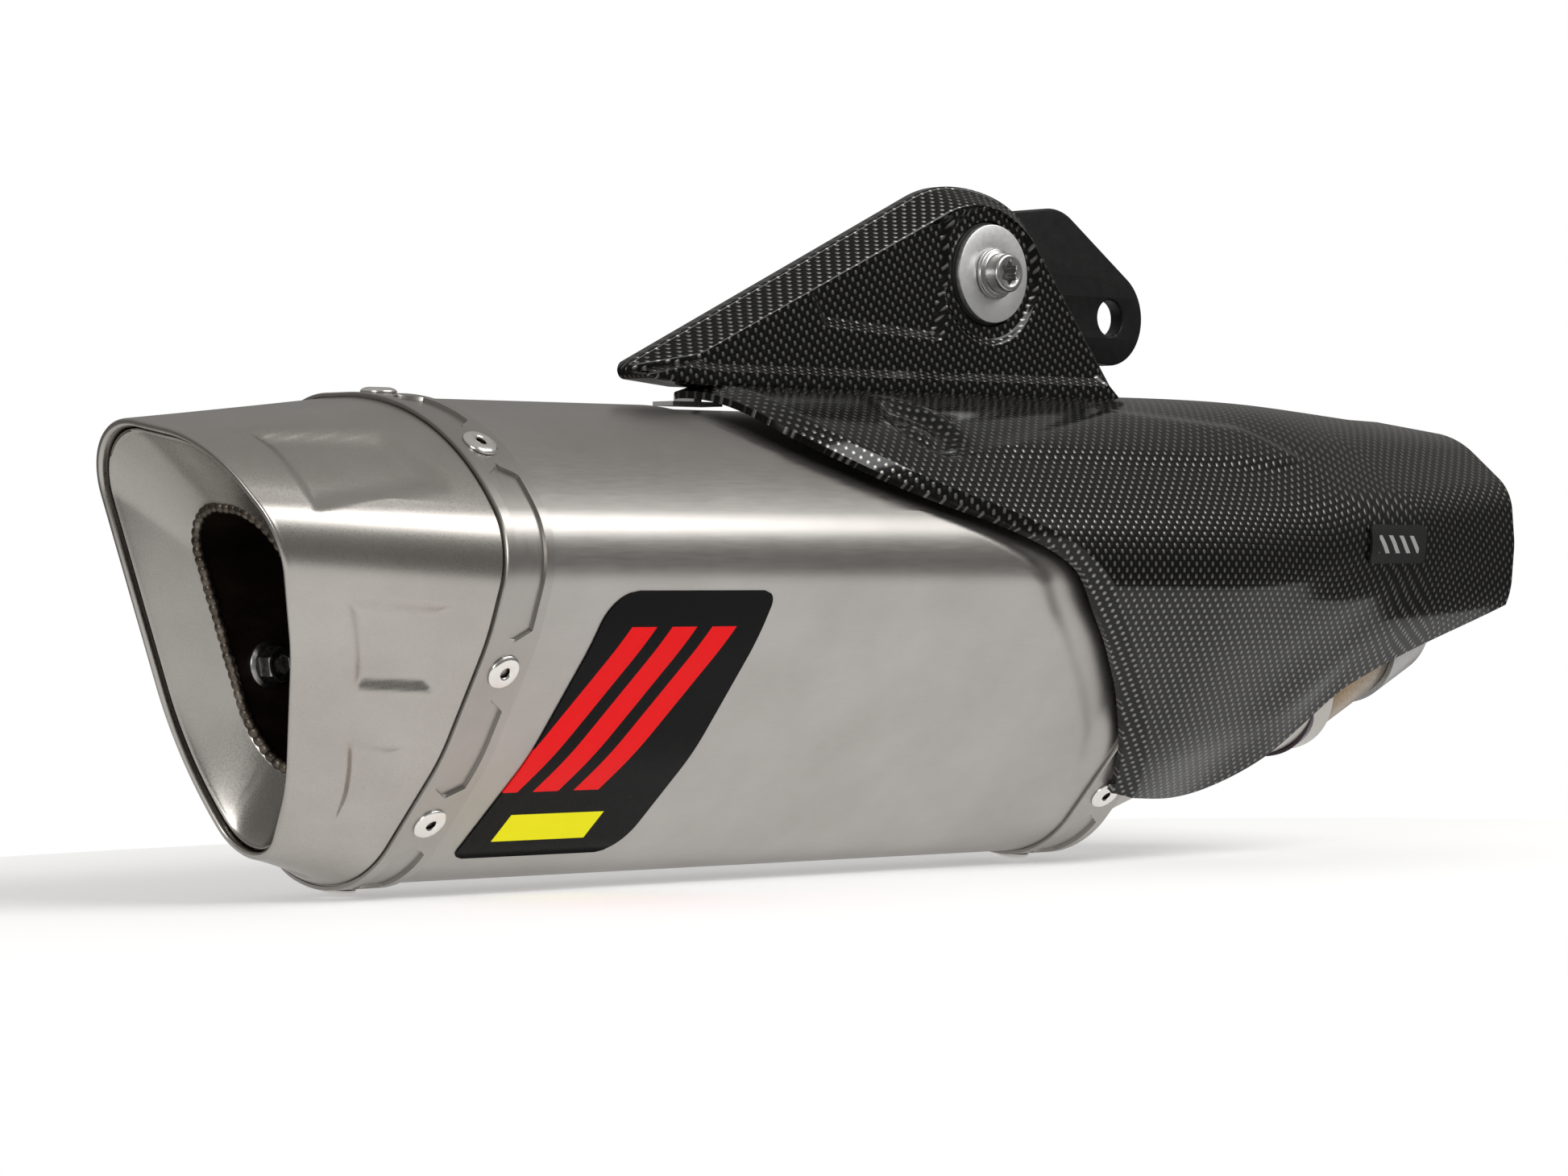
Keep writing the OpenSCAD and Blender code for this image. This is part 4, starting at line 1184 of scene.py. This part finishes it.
tube = [(INLET_R, -8), (INLET_R, INLET_LEN), (INLET_OUT_R, INLET_LEN), (INLET_OUT_R, 4),
        (INLET_OUT_R, -8)]
piece("inlet_tube", turned(tube, NECK, INLET_DIR, 120), MAT["tint"], ["inlet_pipe"])


def build_front_cap():
    """A sheet that narrows from the body's outline to a round neck, with a collar in the band."""
    def ring(w, inset):
        seat = body_outline(SEAT_INSET + inset)
        a = np.arctan2(seat[:, 1], seat[:, 0])
        r = INLET_OUT_R + JOINT_GAP + CAP_T - inset
        neck = np.c_[-np.sin(a) * math.sin(INLET_TILT), np.cos(a), np.sin(a) * math.cos(INLET_TILT)]
        neck = NECK + r * neck
        x = (CANISTER_LEN + JOINT_GAP + inset) * (1 - w) + neck[:, 0] * w
        return np.c_[x, seat + (neck[:, 1:] - seat) * w ** 0.6]

    start = CANISTER_LEN - COLLAR_LEN
    w = np.linspace(0, 1, 30) ** 1.6
    collar = body_outline(COLLAR_OUT)
    rows = [rows_of(collar, start), rows_of(collar, CANISTER_LEN + 0.2)]
    rows += [ring(k, 0) for k in w] + [ring(k, CAP_T) for k in w[::-1]]
    rows.append(rows_of(body_outline(COLLAR_IN), start))
    return torus(rows)


piece("front_cap_shell", build_front_cap(), MAT["cap_steel"], ["front_cap"], sharp=50)

# ---------- CAD nodes that stay ----------

KEPT = {"perforated_core": "zinc", "rear_baffle": "cap_steel", "front_baffle": "cap_steel",
        "inlet_clamp": "zinc", "clamp_bolt": "zinc", "clamp_nut": "zinc", "shield_tabs": "polished",
        "shield_pads": "rubber", "mount_lug": "band"}
for node, key in KEPT.items():
    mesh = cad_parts[node].data
    mesh.materials.clear()
    mesh.materials.append(MAT[key])

# ---------- studio ----------

FLOOR_X = -0.20
FLOOR_Z = CAD_BOX[0][2] - 0.0005
FLOOR_RINGS = (0.14, 0.27, 0.40)
FLOOR_WIDTH = 0.64


def build_stage():
    """A pale, oval floor under the object, which glows a little."""
    count = 64
    verts = [(FLOOR_X, 0.0, FLOOR_Z)]
    for r in FLOOR_RINGS:
        verts += [(FLOOR_X + r * math.cos(a), FLOOR_WIDTH * r * math.sin(a), FLOOR_Z)
                  for a in full_turn(count)]
    faces = [(0, 1 + k, 1 + (k + 1) % count) for k in range(count)]
    faces += grid_faces(len(FLOOR_RINGS), count, 1, True, True).tolist()
    mesh = bpy.data.meshes.new("studio_floor")
    mesh.from_pydata(verts, [], faces)
    s = Shader("studio_paper", Roughness=0.9, Specular_IOR_Level=0.1, Emission_Strength=0.30)
    s.colour(s.ramp(s.noise(3, 2), [(0.3, (0.93, 0.93, 0.93)), (0.7, (0.95, 0.95, 0.95))]))
    mesh.materials.append(s.mat)
    new_object("studio_floor", mesh)


build_stage()

CENTRE = Vector((-0.22, 0, 0.0))


def area_light(name, offset, size, power):
    """A soft box at an offset from the middle of the object, facing it."""
    data = bpy.data.lights.new(name, "AREA")
    data.shape = "RECTANGLE"
    data.size, data.size_y = size
    data.energy = power
    place = CENTRE + Vector(offset)
    obj = new_object(name, data)
    obj.location = place
    obj.rotation_euler = (CENTRE - place).to_track_quat("-Z", "Y").to_euler()
    obj.visible_camera = False


area_light("front_box", (0.70, -1.50, 1.42), (2.0, 0.80), 29)
area_light("left_card", (-1.75, -0.68, 0.26), (0.6, 0.5), 9)

# How bright the surroundings are, from the horizon and below, 0, to straight above, 1.
SKY = [(0.0, 0.19), (0.15, 0.22), (0.45, 0.36), (1.0, 0.46)]


def build_world():
    """White behind the object, and a soft dim gradient for what it reflects."""
    world = bpy.data.worlds.new("studio")
    bpy.context.scene.world = world
    world.use_nodes = True
    sky = Wiring(world.node_tree)
    up = sky.axes(sky.node("ShaderNodeTexCoord").outputs["Generated"])["Z"]
    seen = sky.ramp(up, [(at, (value, value * 0.985, value * 0.96)) for at, value in SKY])
    to_camera = sky.node("ShaderNodeLightPath").outputs["Is Camera Ray"]
    background = sky.tree.nodes["Background"]
    sky.link(sky.blend(to_camera, seen, (1, 1, 1)), background.inputs["Color"])
    background.inputs["Strength"].default_value = 1.0


build_world()

camera_data = bpy.data.cameras.new("camera")
camera_data.lens = 122.1
camera_data.sensor_width = 36
camera_data.shift_y = -0.009
camera = new_object("camera", camera_data)
camera.location = (-1.25454, -1.0316, 0.00248)
camera.rotation_euler = (math.radians(90), 0, math.radians(-44.43))
bpy.context.scene.camera = camera
bpy.context.scene.view_settings.view_transform = "Standard"
